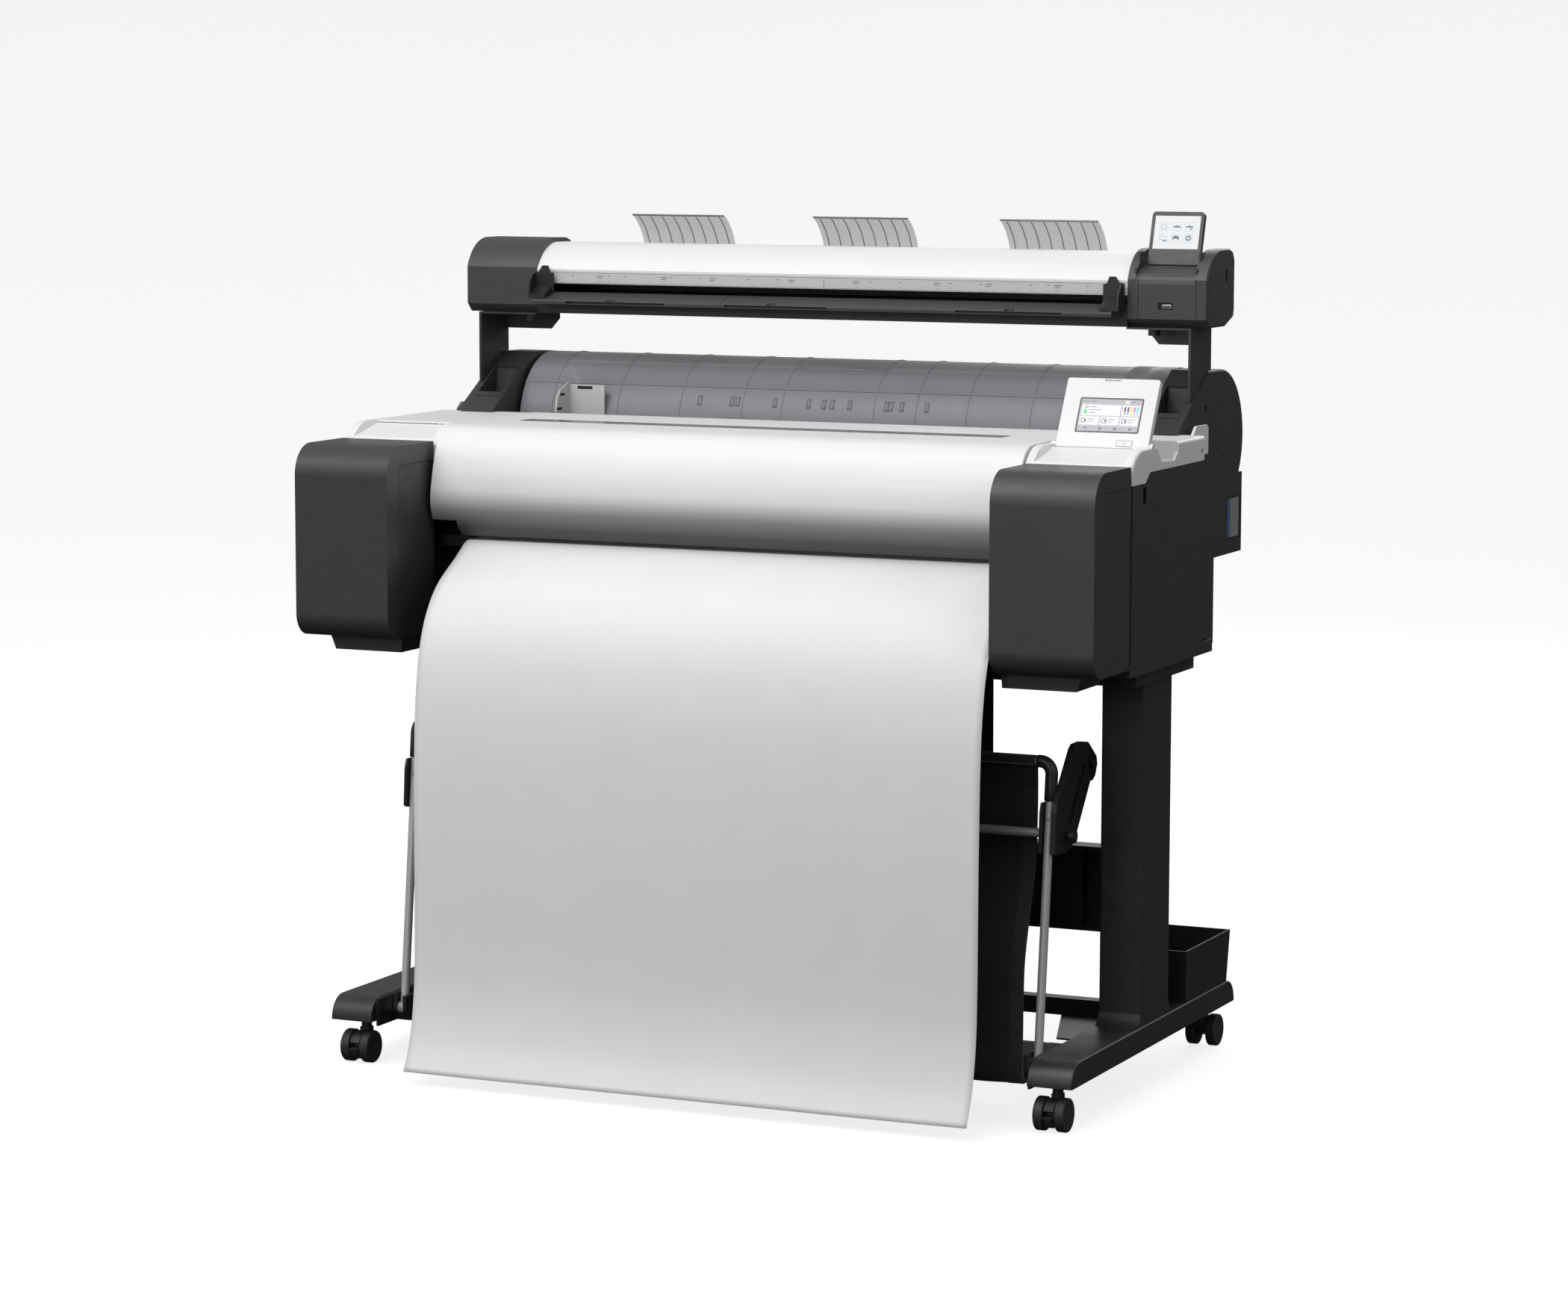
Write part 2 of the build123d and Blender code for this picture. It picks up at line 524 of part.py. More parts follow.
TANK_WIDTH = 44.0
with BuildPart() as ink_tanks:
    for x in (-636, -588, 492, 540, 588):
        block((x, x + TANK_WIDTH), (40, 138), (BAY_Z[0] + WALL, 866))
    fillet(ink_tanks.edges().filter_by(Axis.Z), 2)
    for x in (-636, -588, 492, 540, 588):
        block((x + 8, x + TANK_WIDTH - 8), (39, 46), (700, 740), Mode.SUBTRACT)
save(ink_tanks.part, "ink_tanks")

# ------------------------------------------------------------------ operation panel
tilt = radians(PANEL_LEAN)
panel_plane = Plane(origin=(0, FRONT + PANEL_FOOT[0], PANEL_FOOT[1]), x_dir=(1, 0, 0),
                    z_dir=(0, -cos(tilt), sin(tilt)))
SCREEN_X = (521.6, 619.5)
SCREEN_S = (22.5, 77.8)
BUTTON_X = (590.0, 613.0)
BUTTON_S = (2.0, 10.0)


def tile(plane, xs, heights):
    """A centre and size for a rectangle between two widths and two heights on a tilted plane."""
    return ((xs[0] + xs[1]) / 2, (heights[0] + heights[1]) / 2), (xs[1] - xs[0], heights[1] - heights[0])


with BuildPart() as operation_panel:
    centre, size = tile(panel_plane, PANEL_X, (-2, PANEL_HEIGHT))
    with BuildSketch(panel_plane):
        with Locations(centre):
            RectangleRounded(*size, 4)
    extrude(amount=-12)
    fillet(operation_panel.faces().sort_by(Axis.Y)[0].edges(), 1.2)
    centre, size = tile(panel_plane, (SCREEN_X[0] - 0.3, SCREEN_X[1] + 0.3), (SCREEN_S[0] - 0.3, SCREEN_S[1] + 0.3))
    with BuildSketch(panel_plane):
        with Locations(centre):
            RectangleRounded(*size, 2.3)
    extrude(amount=-2.4, mode=Mode.SUBTRACT)
    centre, size = tile(panel_plane, (BUTTON_X[0] - 0.4, BUTTON_X[1] + 0.4), (BUTTON_S[0] - 0.4, BUTTON_S[1] + 0.4))
    with BuildSketch(panel_plane):
        with Locations(centre):
            RectangleRounded(*size, 1.4)
    extrude(amount=-4.6, mode=Mode.SUBTRACT)
    with BuildSketch(panel_plane):
        with Locations((566, 106)):
            RectangleRounded(25, 3, 1)
    extrude(amount=-3, mode=Mode.SUBTRACT)
    rod(2.5, PANEL_HINGE, (490, 497))
    rod(2.5, PANEL_HINGE, (637, 642.5))
save(operation_panel.part, "operation_panel")

with BuildPart() as operation_screen:
    centre, size = tile(panel_plane, SCREEN_X, SCREEN_S)
    with BuildSketch(panel_plane.offset(-2.4)):
        with Locations(centre):
            RectangleRounded(*size, 2)
    extrude(amount=2.1)
save(operation_screen.part, "operation_screen")

with BuildPart() as power_button:
    centre, size = tile(panel_plane, BUTTON_X, BUTTON_S)
    with BuildSketch(panel_plane.offset(-3.0)):
        with Locations(centre):
            RectangleRounded(*size, 1)
    extrude(amount=3.3)
save(power_button.part, "power_button")

# ------------------------------------------------------------------ roll unit
CASING_AXIS = (655.0, 959.0)
CASING_RADIUS = 106.0


def casing_outline(inset):
    """Side view of a roll unit cheek, drawn inwards by the inset."""
    radius = CASING_RADIUS - inset
    start = on_circle(CASING_AXIS, radius, -33)
    with BuildLine() as outline:
        Polyline(start, (757 - inset, start[1]), (757 - inset, 778 + inset), (628 - inset, 778 + inset),
                 (628 - inset, SKIRT_BOTTOM + inset), (514 + inset, SKIRT_BOTTOM + inset),
                 (514 + inset, BASE_TOP + inset), (471.5 + inset, BASE_TOP + inset), (471.5 + inset, 978.2 + inset),
                 (449 + 2.2 * inset, 978.2 + inset), (597 + 0.6 * inset, 1066 - inset),
                 (CASING_AXIS[0], CASING_AXIS[1] + radius))
        ThreePointArc((CASING_AXIS[0], CASING_AXIS[1] + radius), on_circle(CASING_AXIS, radius, 30), start)
    return outline.line


with BuildPart() as right_roll_casing:
    with BuildSketch(side(ROLL_CASING_X[0])) as cheek:
        make_face(casing_outline(0))
    extrude(amount=ROLL_CASING_X[1] - ROLL_CASING_X[0])
    crest = right_roll_casing.edges().filter_by(
        lambda e: abs(e.center().X - ROLL_CASING_X[1]) < 0.1 and e.center().Z > 1000 and e.center().Y > FRONT + 640)
    fillet(crest, 4)
    with BuildSketch(side(ROLL_CASING_X[0] + 3)) as cavity:
        make_face(casing_outline(3))
    extrude(amount=ROLL_CASING_X[1] - ROLL_CASING_X[0] - 6, mode=Mode.SUBTRACT)
    prism([(486, 1001), (565, 1048), (565, 1000), (506, 983)], (550, 596))
    prism([(492, 1012), (556, 1052), (560, 1040), (556, 1004), (508, 990)], (553, 593), Mode.SUBTRACT)
    block((POST_X[0] - GAP, POST_X[1]), (POST_DEPTHS[0] - GAP, POST_DEPTHS[1] + GAP), (975, 1080), Mode.SUBTRACT)
    rod(5, (581.5, 1010), (602, 607), Mode.SUBTRACT)
    rod(8 + FIT, ROLL_AXIS, (544, 549), Mode.SUBTRACT)
    rod(8, ROLL_COVER_AXIS, (536.6, 545.5))
save_pair("roll_casing", right_roll_casing.part)

TROUGH_HALF = 535.0
TROUGH_RADII = (107.4, 110.4)
with BuildPart() as rear_casing:
    outer = [(746.8, 897), (757, 897), (757, 778), (628, 778), (628, SKIRT_BOTTOM), (514, SKIRT_BOTTOM),
             (514, BASE_TOP), (471.5, BASE_TOP), (471.5, 962), (532.5, 962), (532.5, 959), (474.5, 959),
             (474.5, BASE_TOP + 3), (517, BASE_TOP + 3), (517, SKIRT_BOTTOM + 3), (625, SKIRT_BOTTOM + 3),
             (625, 781), (754, 781), (754, 894), (743.6, 894)]
    prism(outer, (-ROLL_CASING_X[0], ROLL_CASING_X[0]))
    ring_sector(ROLL_COVER_AXIS, TROUGH_RADII, (-30.5, 58), (-TROUGH_HALF, TROUGH_HALF))
    block((-ROLL_CASING_X[0], -TROUGH_HALF), (735, 760), (890, 900), Mode.SUBTRACT)
    block((TROUGH_HALF, ROLL_CASING_X[0]), (735, 760), (890, 900), Mode.SUBTRACT)
    block((-495, 495), (470, 476), (848, 872), Mode.SUBTRACT)
save(rear_casing.part, "rear_casing")

COVER_ANGLES = (60.0, 174.3)
RIB_XS = (-484, -368, -258, -150, -82, 75, 146, 231, 336)
with BuildPart() as roll_cover:
    ring_sector(ROLL_COVER_AXIS, (ROLL_COVER_RADIUS - 3, ROLL_COVER_RADIUS), COVER_ANGLES, (-540, 540))
    for x in RIB_XS:
        ring_sector(ROLL_COVER_AXIS, (ROLL_COVER_RADIUS - 0.5, ROLL_COVER_RADIUS + 0.9), COVER_ANGLES, (x - 1, x + 1))
    for hand in (-1, 1):
        cheek_x = sorted((hand * 537, hand * 540))
        ring_sector(ROLL_COVER_AXIS, (10, ROLL_COVER_RADIUS - 1), COVER_ANGLES, cheek_x)
        rod(14, ROLL_COVER_AXIS, cheek_x)
        rod(8 + FIT, ROLL_COVER_AXIS, cheek_x, Mode.SUBTRACT)
    ring_sector(ROLL_COVER_AXIS, (ROLL_COVER_RADIUS - 0.5, ROLL_COVER_RADIUS + 1.2), (141, 143), (-540, 540))
save(roll_cover.part, "roll_cover")

ROLL_RADIUS = 55.0
CORE_RADIUS = 25.0
with BuildPart() as roll_holder:
    rod(12, ROLL_AXIS, (-536, 536))
    rod(8, ROLL_AXIS, (-547.5, 547.5))
    for inner, hand in ((PAPER_X[0], -1), (PAPER_X[1], 1)):
        rod(62, ROLL_AXIS, sorted((inner + hand * 0.2, inner + hand * 8)))
        rod(CORE_RADIUS - 0.1, ROLL_AXIS, sorted((inner - hand * 25, inner + hand)))
save(roll_holder.part, "roll_holder")

with BuildPart() as paper_roll:
    rod(ROLL_RADIUS, ROLL_AXIS, PAPER_X)
    rod(CORE_RADIUS, ROLL_AXIS, PAPER_X, Mode.SUBTRACT)
save(paper_roll.part, "paper_roll")

# ------------------------------------------------------------------ print engine
FRAME_X = (600.0, 608.0)
GUIDE_ROD = (372.0, 905.0)
slope = tan(radians(PAPER_SLOPE))
normal = (-sin(radians(PAPER_SLOPE)), cos(radians(PAPER_SLOPE)))
FEED_DROP = FEED_RADIUS + 2.0
feed_axis = (FEED_NIP[0] - normal[0] * FEED_DROP, FEED_NIP[1] - normal[1] * FEED_DROP)


def paper_height(depth):
    """Height of the middle of the sheet where it crosses the platen."""
    return FEED_NIP[1] + (depth - FEED_NIP[0]) * slope


with BuildPart() as print_frame:
    block((-FRAME_X[1], FRAME_X[1]), (402, 432), (880, 940))
    block((-FRAME_X[0], FRAME_X[0]), (404, 430), (882, 938), Mode.SUBTRACT)
    for hand in (-1, 1):
        block(sorted((hand * FRAME_X[0], hand * FRAME_X[1])), (190, 432), (BASE_TOP - 15.5, 940))
    rod(8, GUIDE_ROD, (-FRAME_X[1], FRAME_X[1]))
    rod(5 + FIT, feed_axis, (-FRAME_X[1] - 1, -FRAME_X[0] + 1), Mode.SUBTRACT)
    rod(5 + FIT, feed_axis, (FRAME_X[0] - 1, FRAME_X[1] + 1), Mode.SUBTRACT)
save(print_frame.part, "print_frame")

with BuildPart() as platen:
    top = [(188, paper_height(188) - 1.2), (332, paper_height(332) - 1.2)]
    prism(top + [(332, paper_height(332) - 18), (188, paper_height(188) - 18)], (-FRAME_X[0], FRAME_X[0]))
save(platen.part, "platen")

with BuildPart() as feed_roller:
    rod(FEED_RADIUS, feed_axis, (-590, 590))
    rod(5, feed_axis, (-606, 606))
save(feed_roller.part, "feed_roller")

CARRIAGE_X = (490.0, 596.0)
with BuildPart() as print_carriage:
    prism([(236, 836), (330, 867), (352, 880), (396, 880), (396, 930), (380, 936), (250, 936), (236, 925)], CARRIAGE_X)
    rod(8 + FIT, GUIDE_ROD, (CARRIAGE_X[0] - 1, CARRIAGE_X[1] + 1), Mode.SUBTRACT)
save(print_carriage.part, "print_carriage")

# sheet from the roll, over the feed roller and platen, then hanging in front of the stand
FALL = [(180, paper_height(180)), (145, 804.5), (108, 782), (52, 748), (20, 714), (-2, 672), (-16, 616), (-24, 540),
        (-28, 400), (-29, 200), (-34, 125), (-47, 65), (-67.3, 20)]
with BuildPart() as paper_sheet:
    with BuildSketch(side(PAPER_X[0])):
        with BuildLine():
            feed_line = [(640, 858.6), FEED_NIP, FALL[0]]
            front_edge = shifted(FALL, PAPER_THICKNESS / 2)
            back_edge = shifted(FALL, -PAPER_THICKNESS / 2)
            Spline(*front_edge)
            Spline(*back_edge)
            Line(front_edge[-1], back_edge[-1])
            Polyline(*shifted(feed_line, PAPER_THICKNESS / 2)[:2], front_edge[0])
            Polyline(*shifted(feed_line, -PAPER_THICKNESS / 2)[:2], back_edge[0])
            Line(shifted(feed_line, PAPER_THICKNESS / 2)[0], shifted(feed_line, -PAPER_THICKNESS / 2)[0])
        make_face()
    extrude(amount=PAPER_X[1] - PAPER_X[0])
save(paper_sheet.part, "paper_sheet")

# ------------------------------------------------------------------ scanner
with BuildPart() as scanner_base:
    prism([(523, SCAN_BOTTOM), (608, SCAN_BOTTOM), (646, 1146), (648, 1152), (648, 1204), (642, 1204), (642, 1166),
           (520.8, 1166), (520.8, 1140)], (-SCAN_INNER, SCAN_INNER))
    prism([(524, SCAN_BOTTOM + 3), (607, SCAN_BOTTOM + 3), (638, 1147), (638, 1163), (524, 1163)],
          (-SCAN_INNER + 3, SCAN_INNER - 3), Mode.SUBTRACT)
    for x in (-300, -100, 100, 300):
        block((x - 0.6, x + 0.6), (519, 521.6), (1130, 1149), Mode.SUBTRACT)
save(scanner_base.part, "scanner_base")


scan_up = (sin(radians(SCAN_PANEL_LEAN)), cos(radians(SCAN_PANEL_LEAN)))
SCAN_PANEL_HINGE = (SCAN_PANEL_FOOT[0] + 3.5 * scan_up[0] + 4.5 * scan_up[1],
                    SCAN_PANEL_FOOT[1] + 3.5 * scan_up[1] - 4.5 * scan_up[0])


def cap_outline(inset):
    """Side view of a scanner end cap."""
    with BuildLine() as outline:
        Polyline((521 + inset, 1205), (521 + inset, 1146), (534 + inset / 2, SCAN_BOTTOM + inset),
                 (608, SCAN_BOTTOM + inset), (646 - inset, 1146), (649 - inset, 1158), (649 - inset, 1232),
                 (641 - inset, 1245), (625, 1250 - inset), (590, 1250 - inset))
        ThreePointArc((590, 1250 - inset), (546 + inset / 2, 1237 - inset), (521 + inset, 1205))
    return outline.line


SLOPE = [(521.2, 1196), (521.2, 1199), (522.3, 1204.5), (525, 1209.5), (529.5, 1214), (535.5, 1217.6), (543, 1220.6),
         (556, 1224.6)]


def make_cap(with_touch_panel):
    """Black end cap of the scanner; the right one has the touch panel's recess and a USB port."""
    with BuildPart() as cap:
        with BuildSketch(side(SCAN_INNER + 0.2)):
            make_face(cap_outline(0))
        extrude(amount=SCAN_OUTER - SCAN_INNER - 0.2)
        rounded = cap.faces().sort_by(Axis.X)[-1].edges()
        fillet(rounded, 3)
        with BuildSketch(side(SCAN_INNER + 3)):
            make_face(cap_outline(3))
        extrude(amount=SCAN_OUTER - SCAN_INNER - 6, mode=Mode.SUBTRACT)
        if with_touch_panel:
            block((510, 609), (524, 646), (1215, 1222))
            block((510, 513), (540, 646), (1220, 1246))
            block((606, 609), (540, 646), (1220, 1246))
            prism(SLOPE + [(559, 1211), (540, 1208), (529, 1202), (524, 1192), (521.5, 1192)], (510, 609))
            prism([(519, 1196)] + SLOPE[1:] + [(556, 1221), (651, 1221), (651, 1260), (519, 1260)],
                  (513, 606), Mode.SUBTRACT)
            block((549, 572), (519, 524), (1160, 1171), Mode.SUBTRACT)
            block((547, 574), (524, 527), (1158, 1173))
            block((SCAN_OUTER - 3.5, SCAN_OUTER + 1), (607, 615), (1200, 1219), Mode.SUBTRACT)
            for ear in ((512.5, 516.2), (600.4, 606.5)):
                block(ear, (560, 570), (1220, 1233))
            rod(1.5 + FIT, SCAN_PANEL_HINGE, (511, 607), Mode.SUBTRACT)
    return cap.part


save(make_cap(True), "right_scanner_cap")
with BuildPart() as left_cap:
    mirror(make_cap(False), about=Plane.YZ)
save(left_cap.part, "left_scanner_cap")

with BuildPart() as scanner_cover:
    with BuildSketch(side(-SCAN_INNER)):
        with BuildLine():
            crown = ThreePointArc((522, 1203), (550, 1232), (601, 1243.5))
            Line((601, 1243.5), (628, 1243.5))
            heel = ThreePointArc((628, 1243.5), (642, 1237.5), (648, 1224))
            Polyline((648, 1224), (648, 1208), (645, 1208), (645, 1224))
            ThreePointArc((645, 1224), (640, 1235), (628, 1240.5))
            Line((628, 1240.5), (601, 1240.5))
            ThreePointArc((601, 1240.5), (551.8, 1229.5), (525, 1202))
            Polyline((525, 1202), (525, 1183.5), (560, 1183.5), (560, 1180.5), (522, 1180.5), (522, 1203))
        make_face()
    extrude(amount=2 * SCAN_INNER)
    block((-SCAN_INNER, SCAN_INNER), (521.4, 523), (1197.5, 1199.5), Mode.SUBTRACT)
    rod(5.4, SCAN_HINGE, (-SCAN_INNER, SCAN_INNER))
save(scanner_cover.part, "scanner_cover")

with BuildPart() as scanner_feed_table:
    prism([(520.5, 1150), (520.5, 1167), (484, 1157), (480, 1153.5), (482, 1149.5), (492, 1148.5)], (-489, 489))
    for ends, notch in (((-428, -256), -349), ((-152, 22), -72), ((237, 409), 324)):
        block(ends, (478, 489), (1151.2, 1154.2), Mode.SUBTRACT)
        post(8.5, notch, 482, (1154.5, 1166), Mode.SUBTRACT)
    prism([(480.6, 1152.8), (484.4, 1156.3), (521, 1166.3), (521, 1168), (484, 1158), (479, 1154)], (-160.5, -159.5),
          Mode.SUBTRACT)
save(scanner_feed_table.part, "scanner_feed_table")

table_rise = (1167 - 1157) / (520.5 - 484)
with BuildPart() as right_document_guide:
    foot = [(485, 1158.2), (512, 1158.2 + 27 * table_rise), (512, 1170 + 27 * table_rise), (485, 1164)]
    prism(foot, (468, 498.5))
    prism([(485, 1160), (512, 1165), (512, 1196), (500, 1196), (488, 1184)], (495.5, 498.5))
    with BuildSketch(face(513)):
        with BuildLine():
            Polyline((465, 1168), (498.5, 1168), (498.5, 1199), (491, 1199), (485, 1209), (475, 1209), (471, 1198.5),
                     (465, 1197), close=True)
        make_face()
    extrude(amount=3)
save_pair("document_guide", right_document_guide.part)

with BuildPart() as return_guides:
    for centre in GUIDE_CENTRES:
        xs = (centre - GUIDE_WIDTH / 2, centre + GUIDE_WIDTH / 2)
        with BuildSketch(side(xs[0])):
            with BuildLine():
                outer = ThreePointArc(*[on_circle(GUIDE_AXIS, GUIDE_RADIUS, a) for a in (-33, 15, 63)])
                inner = ThreePointArc(*[on_circle(GUIDE_AXIS, GUIDE_RADIUS - 1.6, a) for a in (-33, 15, 62)])
                lip = [on_circle(GUIDE_AXIS, GUIDE_RADIUS - 2.6, a) for a in (63, 62)]
                Polyline(outer @ 1, *lip, inner @ 1)
                foot = on_circle(GUIDE_AXIS, GUIDE_RADIUS, -33)
                Polyline(outer @ 0, (foot[0], foot[1] - 2.4), (648, foot[1] - 2.4), (648, foot[1]), inner @ 0)
            make_face()
        extrude(amount=GUIDE_WIDTH)
        for i in range(8):
            x = xs[0] + 10 + i * (GUIDE_WIDTH - 20) / 7
            ring_sector(GUIDE_AXIS, (GUIDE_RADIUS - 2.2, GUIDE_RADIUS - 1), (-33, 62), (x - 0.5, x + 0.5))
save(return_guides.part, "return_guides")

scan_panel_plane = Plane(origin=(0, FRONT + SCAN_PANEL_FOOT[0], SCAN_PANEL_FOOT[1]), x_dir=(1, 0, 0),
                         z_dir=(0, -scan_up[1], scan_up[0]))
with BuildPart() as scanner_panel:
    centre, size = tile(scan_panel_plane, SCAN_PANEL_X, (0, 83.5))
    with BuildSketch(scan_panel_plane):
        with Locations(centre):
            RectangleRounded(*size, 6)
    extrude(amount=-9)
    fillet(scanner_panel.faces().sort_by(Axis.Y)[0].edges(), 1)
    centre, size = tile(scan_panel_plane, (SCAN_PANEL_X[0] + 5.5, SCAN_PANEL_X[1] - 5.5), (25, 77))
    with BuildSketch(scan_panel_plane):
        with Locations(centre):
            RectangleRounded(*size, 1)
    extrude(amount=-1, mode=Mode.SUBTRACT)
    rod(1.5, SCAN_PANEL_HINGE, (513.4, 518))
    rod(1.5, SCAN_PANEL_HINGE, (598, 602.5))
save(scanner_panel.part, "scanner_panel")

# ------------------------------------------------------------------ posts that carry the scanner
with BuildPart() as right_scanner_post:
    block(POST_X, POST_DEPTHS, (900, SCAN_BOTTOM))
    block((500, POST_X[1]), POST_DEPTHS, (SCAN_BOTTOM - 3, SCAN_BOTTOM))
    with BuildSketch(face(POST_DEPTHS[1])):
        with BuildLine():
            Polyline((505, SCAN_BOTTOM), (505, 1120), (520, 1103), (POST_X[1], 1103), (POST_X[1], SCAN_BOTTOM),
                     close=True)
        make_face()
    extrude(amount=3)
    post(9, 530, 559, (1119, SCAN_BOTTOM - 3))
    post(4, 548, 572, (1127, SCAN_BOTTOM - 3))
save_pair("scanner_post", right_scanner_post.part)
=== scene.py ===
"""Looks of the large format plotter: materials, screens, cloth, paper, small trim, camera and light.

The frame is the row's own: metres, +X to the right seen from the front, +Y to the rear, +Z up from the floor.
Small shapes are given in millimetres as width, depth behind the ink covers' front face, and height.
"""
from math import cos, pi, radians, sin, tan

import bmesh
import bpy
from mathutils import Matrix, Vector


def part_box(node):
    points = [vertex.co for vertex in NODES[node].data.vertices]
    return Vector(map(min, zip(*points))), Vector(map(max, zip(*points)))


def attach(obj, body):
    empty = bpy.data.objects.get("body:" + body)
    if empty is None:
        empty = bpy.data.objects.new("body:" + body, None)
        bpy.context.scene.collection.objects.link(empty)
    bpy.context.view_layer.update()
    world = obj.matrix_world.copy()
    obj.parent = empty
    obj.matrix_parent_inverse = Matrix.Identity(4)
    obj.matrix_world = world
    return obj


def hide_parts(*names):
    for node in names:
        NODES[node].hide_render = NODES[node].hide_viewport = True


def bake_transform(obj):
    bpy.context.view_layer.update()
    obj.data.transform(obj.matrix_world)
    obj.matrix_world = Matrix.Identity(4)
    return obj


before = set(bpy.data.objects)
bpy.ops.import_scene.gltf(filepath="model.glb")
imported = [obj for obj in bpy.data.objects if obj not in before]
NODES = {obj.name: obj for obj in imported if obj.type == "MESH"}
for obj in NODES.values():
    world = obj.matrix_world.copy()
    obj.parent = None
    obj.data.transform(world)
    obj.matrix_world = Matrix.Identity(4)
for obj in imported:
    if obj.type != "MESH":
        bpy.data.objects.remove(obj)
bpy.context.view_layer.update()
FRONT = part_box("right_ink_cover")[0].y
MM = 0.001
PANEL_LEAN = 28.9               # degrees from upright
SCAN_PANEL_LEAN = 17.4
ROLL_AXIS = (650.0, 950.0)      # depth and height of the roll cover's axis
ROLL_COVER_RADIUS = 115.0
NOSE_SHADE_HEIGHTS = (0.826, 0.915)   # metres: where painted shade darkens the top cover's rounded lower edge
SIDE_FACE = 606.0               # outer face of the roll casings, from the middle
REAR_FACE = 628.0               # depth of the rear casing's lower back
CAP_OUTER = 626.5               # outer face of the right scanner cap
CAP_FRONT = 520.9               # depth just off its front face


def at(x, depth, height):
    """A point of the row frame, in metres, from a width, depth and height in millimetres."""
    return Vector((x * MM, FRONT + depth * MM, height * MM))


# ------------------------------------------------------------------ materials
def set_stops(node, stops):
    """Gives a colour ramp node its stops, each a position and a colour."""
    elements = node.color_ramp.elements
    while len(elements) < len(stops):
        elements.new(0.5)
    for element, (position, colour) in zip(elements, stops):
        element.position = position
        element.color = (*colour, 1)


class Look:
    """A Principled material with the helper nodes that its patterns need."""

    def __init__(self, name, rough, **sockets):
        self.material = bpy.data.materials.new(name)
        self.material.use_nodes = True
        self.tree = self.material.node_tree
        self.shader = self.tree.nodes["Principled BSDF"]
        self.shader.inputs["Roughness"].default_value = rough
        for socket, value in sockets.items():
            self.shader.inputs[socket.replace("_", " ")].default_value = value
        self.place = self.tree.nodes.new("ShaderNodeTexCoord").outputs["Object"]

    def join(self, source, node, socket):
        self.tree.links.new(source, node.inputs[socket])

    def stretched(self, factors):
        node = self.tree.nodes.new("ShaderNodeMapping")
        node.inputs["Scale"].default_value = factors
        self.join(self.place, node, "Vector")
        return node.outputs["Vector"]

    def noise(self, scale, detail=3.0, stretch=None, rough=0.5):
        node = self.tree.nodes.new("ShaderNodeTexNoise")
        node.inputs["Scale"].default_value = scale
        node.inputs["Detail"].default_value = detail
        node.inputs["Roughness"].default_value = rough
        self.join(self.stretched(stretch) if stretch else self.place, node, "Vector")
        return node.outputs["Fac"]

    def cells(self, scale, stretch=None):
        node = self.tree.nodes.new("ShaderNodeTexVoronoi")
        node.inputs["Scale"].default_value = scale
        self.join(self.stretched(stretch) if stretch else self.place, node, "Vector")
        return node.outputs["Distance"]

    def bands(self, scale, direction, distortion=0.0):
        node = self.tree.nodes.new("ShaderNodeTexWave")
        node.bands_direction = direction
        node.inputs["Scale"].default_value = scale
        node.inputs["Distortion"].default_value = distortion
        self.join(self.place, node, "Vector")
        return node.outputs["Fac"]

    def ramp(self, value, stops):
        node = self.tree.nodes.new("ShaderNodeValToRGB")
        set_stops(node, stops)
        self.join(value, node, "Fac")
        return node.outputs["Color"]

    def range(self, value, low, high, span=(0.3, 0.7)):
        node = self.tree.nodes.new("ShaderNodeMapRange")
        node.inputs["From Min"].default_value = span[0]
        node.inputs["From Max"].default_value = span[1]
        node.inputs["To Min"].default_value = low
        node.inputs["To Max"].default_value = high
        self.join(value, node, "Value")
        return node.outputs["Result"]

    def sum_or_product(self, operation, first, second):
        node = self.tree.nodes.new("ShaderNodeMath")
        node.operation = operation
        self.join(first, node, 0)
        self.join(second, node, 1)
        return node.outputs["Value"]

    def product(self, first, second):
        return self.sum_or_product("MULTIPLY", first, second)

    def total(self, first, second):
        return self.sum_or_product("ADD", first, second)

    def tinted(self, first, second):
        """One colour multiplied by another."""
        node = self.tree.nodes.new("ShaderNodeMix")
        node.data_type = "RGBA"
        node.blend_type = "MULTIPLY"
        node.inputs["Factor"].default_value = 1.0
        self.join(first, node, 6)
        self.join(second, node, 7)
        return node.outputs[2]

    def height(self):
        node = self.tree.nodes.new("ShaderNodeSeparateXYZ")
        self.join(self.place, node, "Vector")
        return node.outputs["Z"]

    def colour(self, source):
        self.join(source, self.shader, "Base Color")

    def gloss(self, source):
        self.join(source, self.shader, "Roughness")

    def relief(self, *layers):
        """Bump layers, each a height value, its depth in metres and its strength."""
        before = None
        for value, depth, strength in layers:
            node = self.tree.nodes.new("ShaderNodeBump")
            node.inputs["Distance"].default_value = depth
            node.inputs["Strength"].default_value = strength
            self.join(value, node, "Height")
            if before:
                self.join(before, node, "Normal")
            before = node.outputs["Normal"]
        self.join(before, self.shader, "Normal")


def shade(colour, factor):
    """A colour made lighter or darker."""
    return tuple(min(1.0, c * factor) for c in colour)


def moulded(name, colour, rough, spread=0.05, grain=1500.0, depth=0.00012, **sockets):
    """Injection moulded plastic: spark-eroded grain, slight colour clouds and uneven gloss."""
    look = Look(name, rough, **sockets)
    clouds = look.noise(5.0, 4.0)
    look.colour(look.ramp(clouds, [(0.3, shade(colour, 1 - spread)), (0.7, shade(colour, 1 + spread))]))
    look.gloss(look.range(look.noise(60.0, 3.0), rough - 0.045, rough + 0.045))
    look.relief((look.cells(grain), depth, 0.35), (look.noise(grain * 0.45, 2.0), depth * 1.4, 0.3))
    return look.material


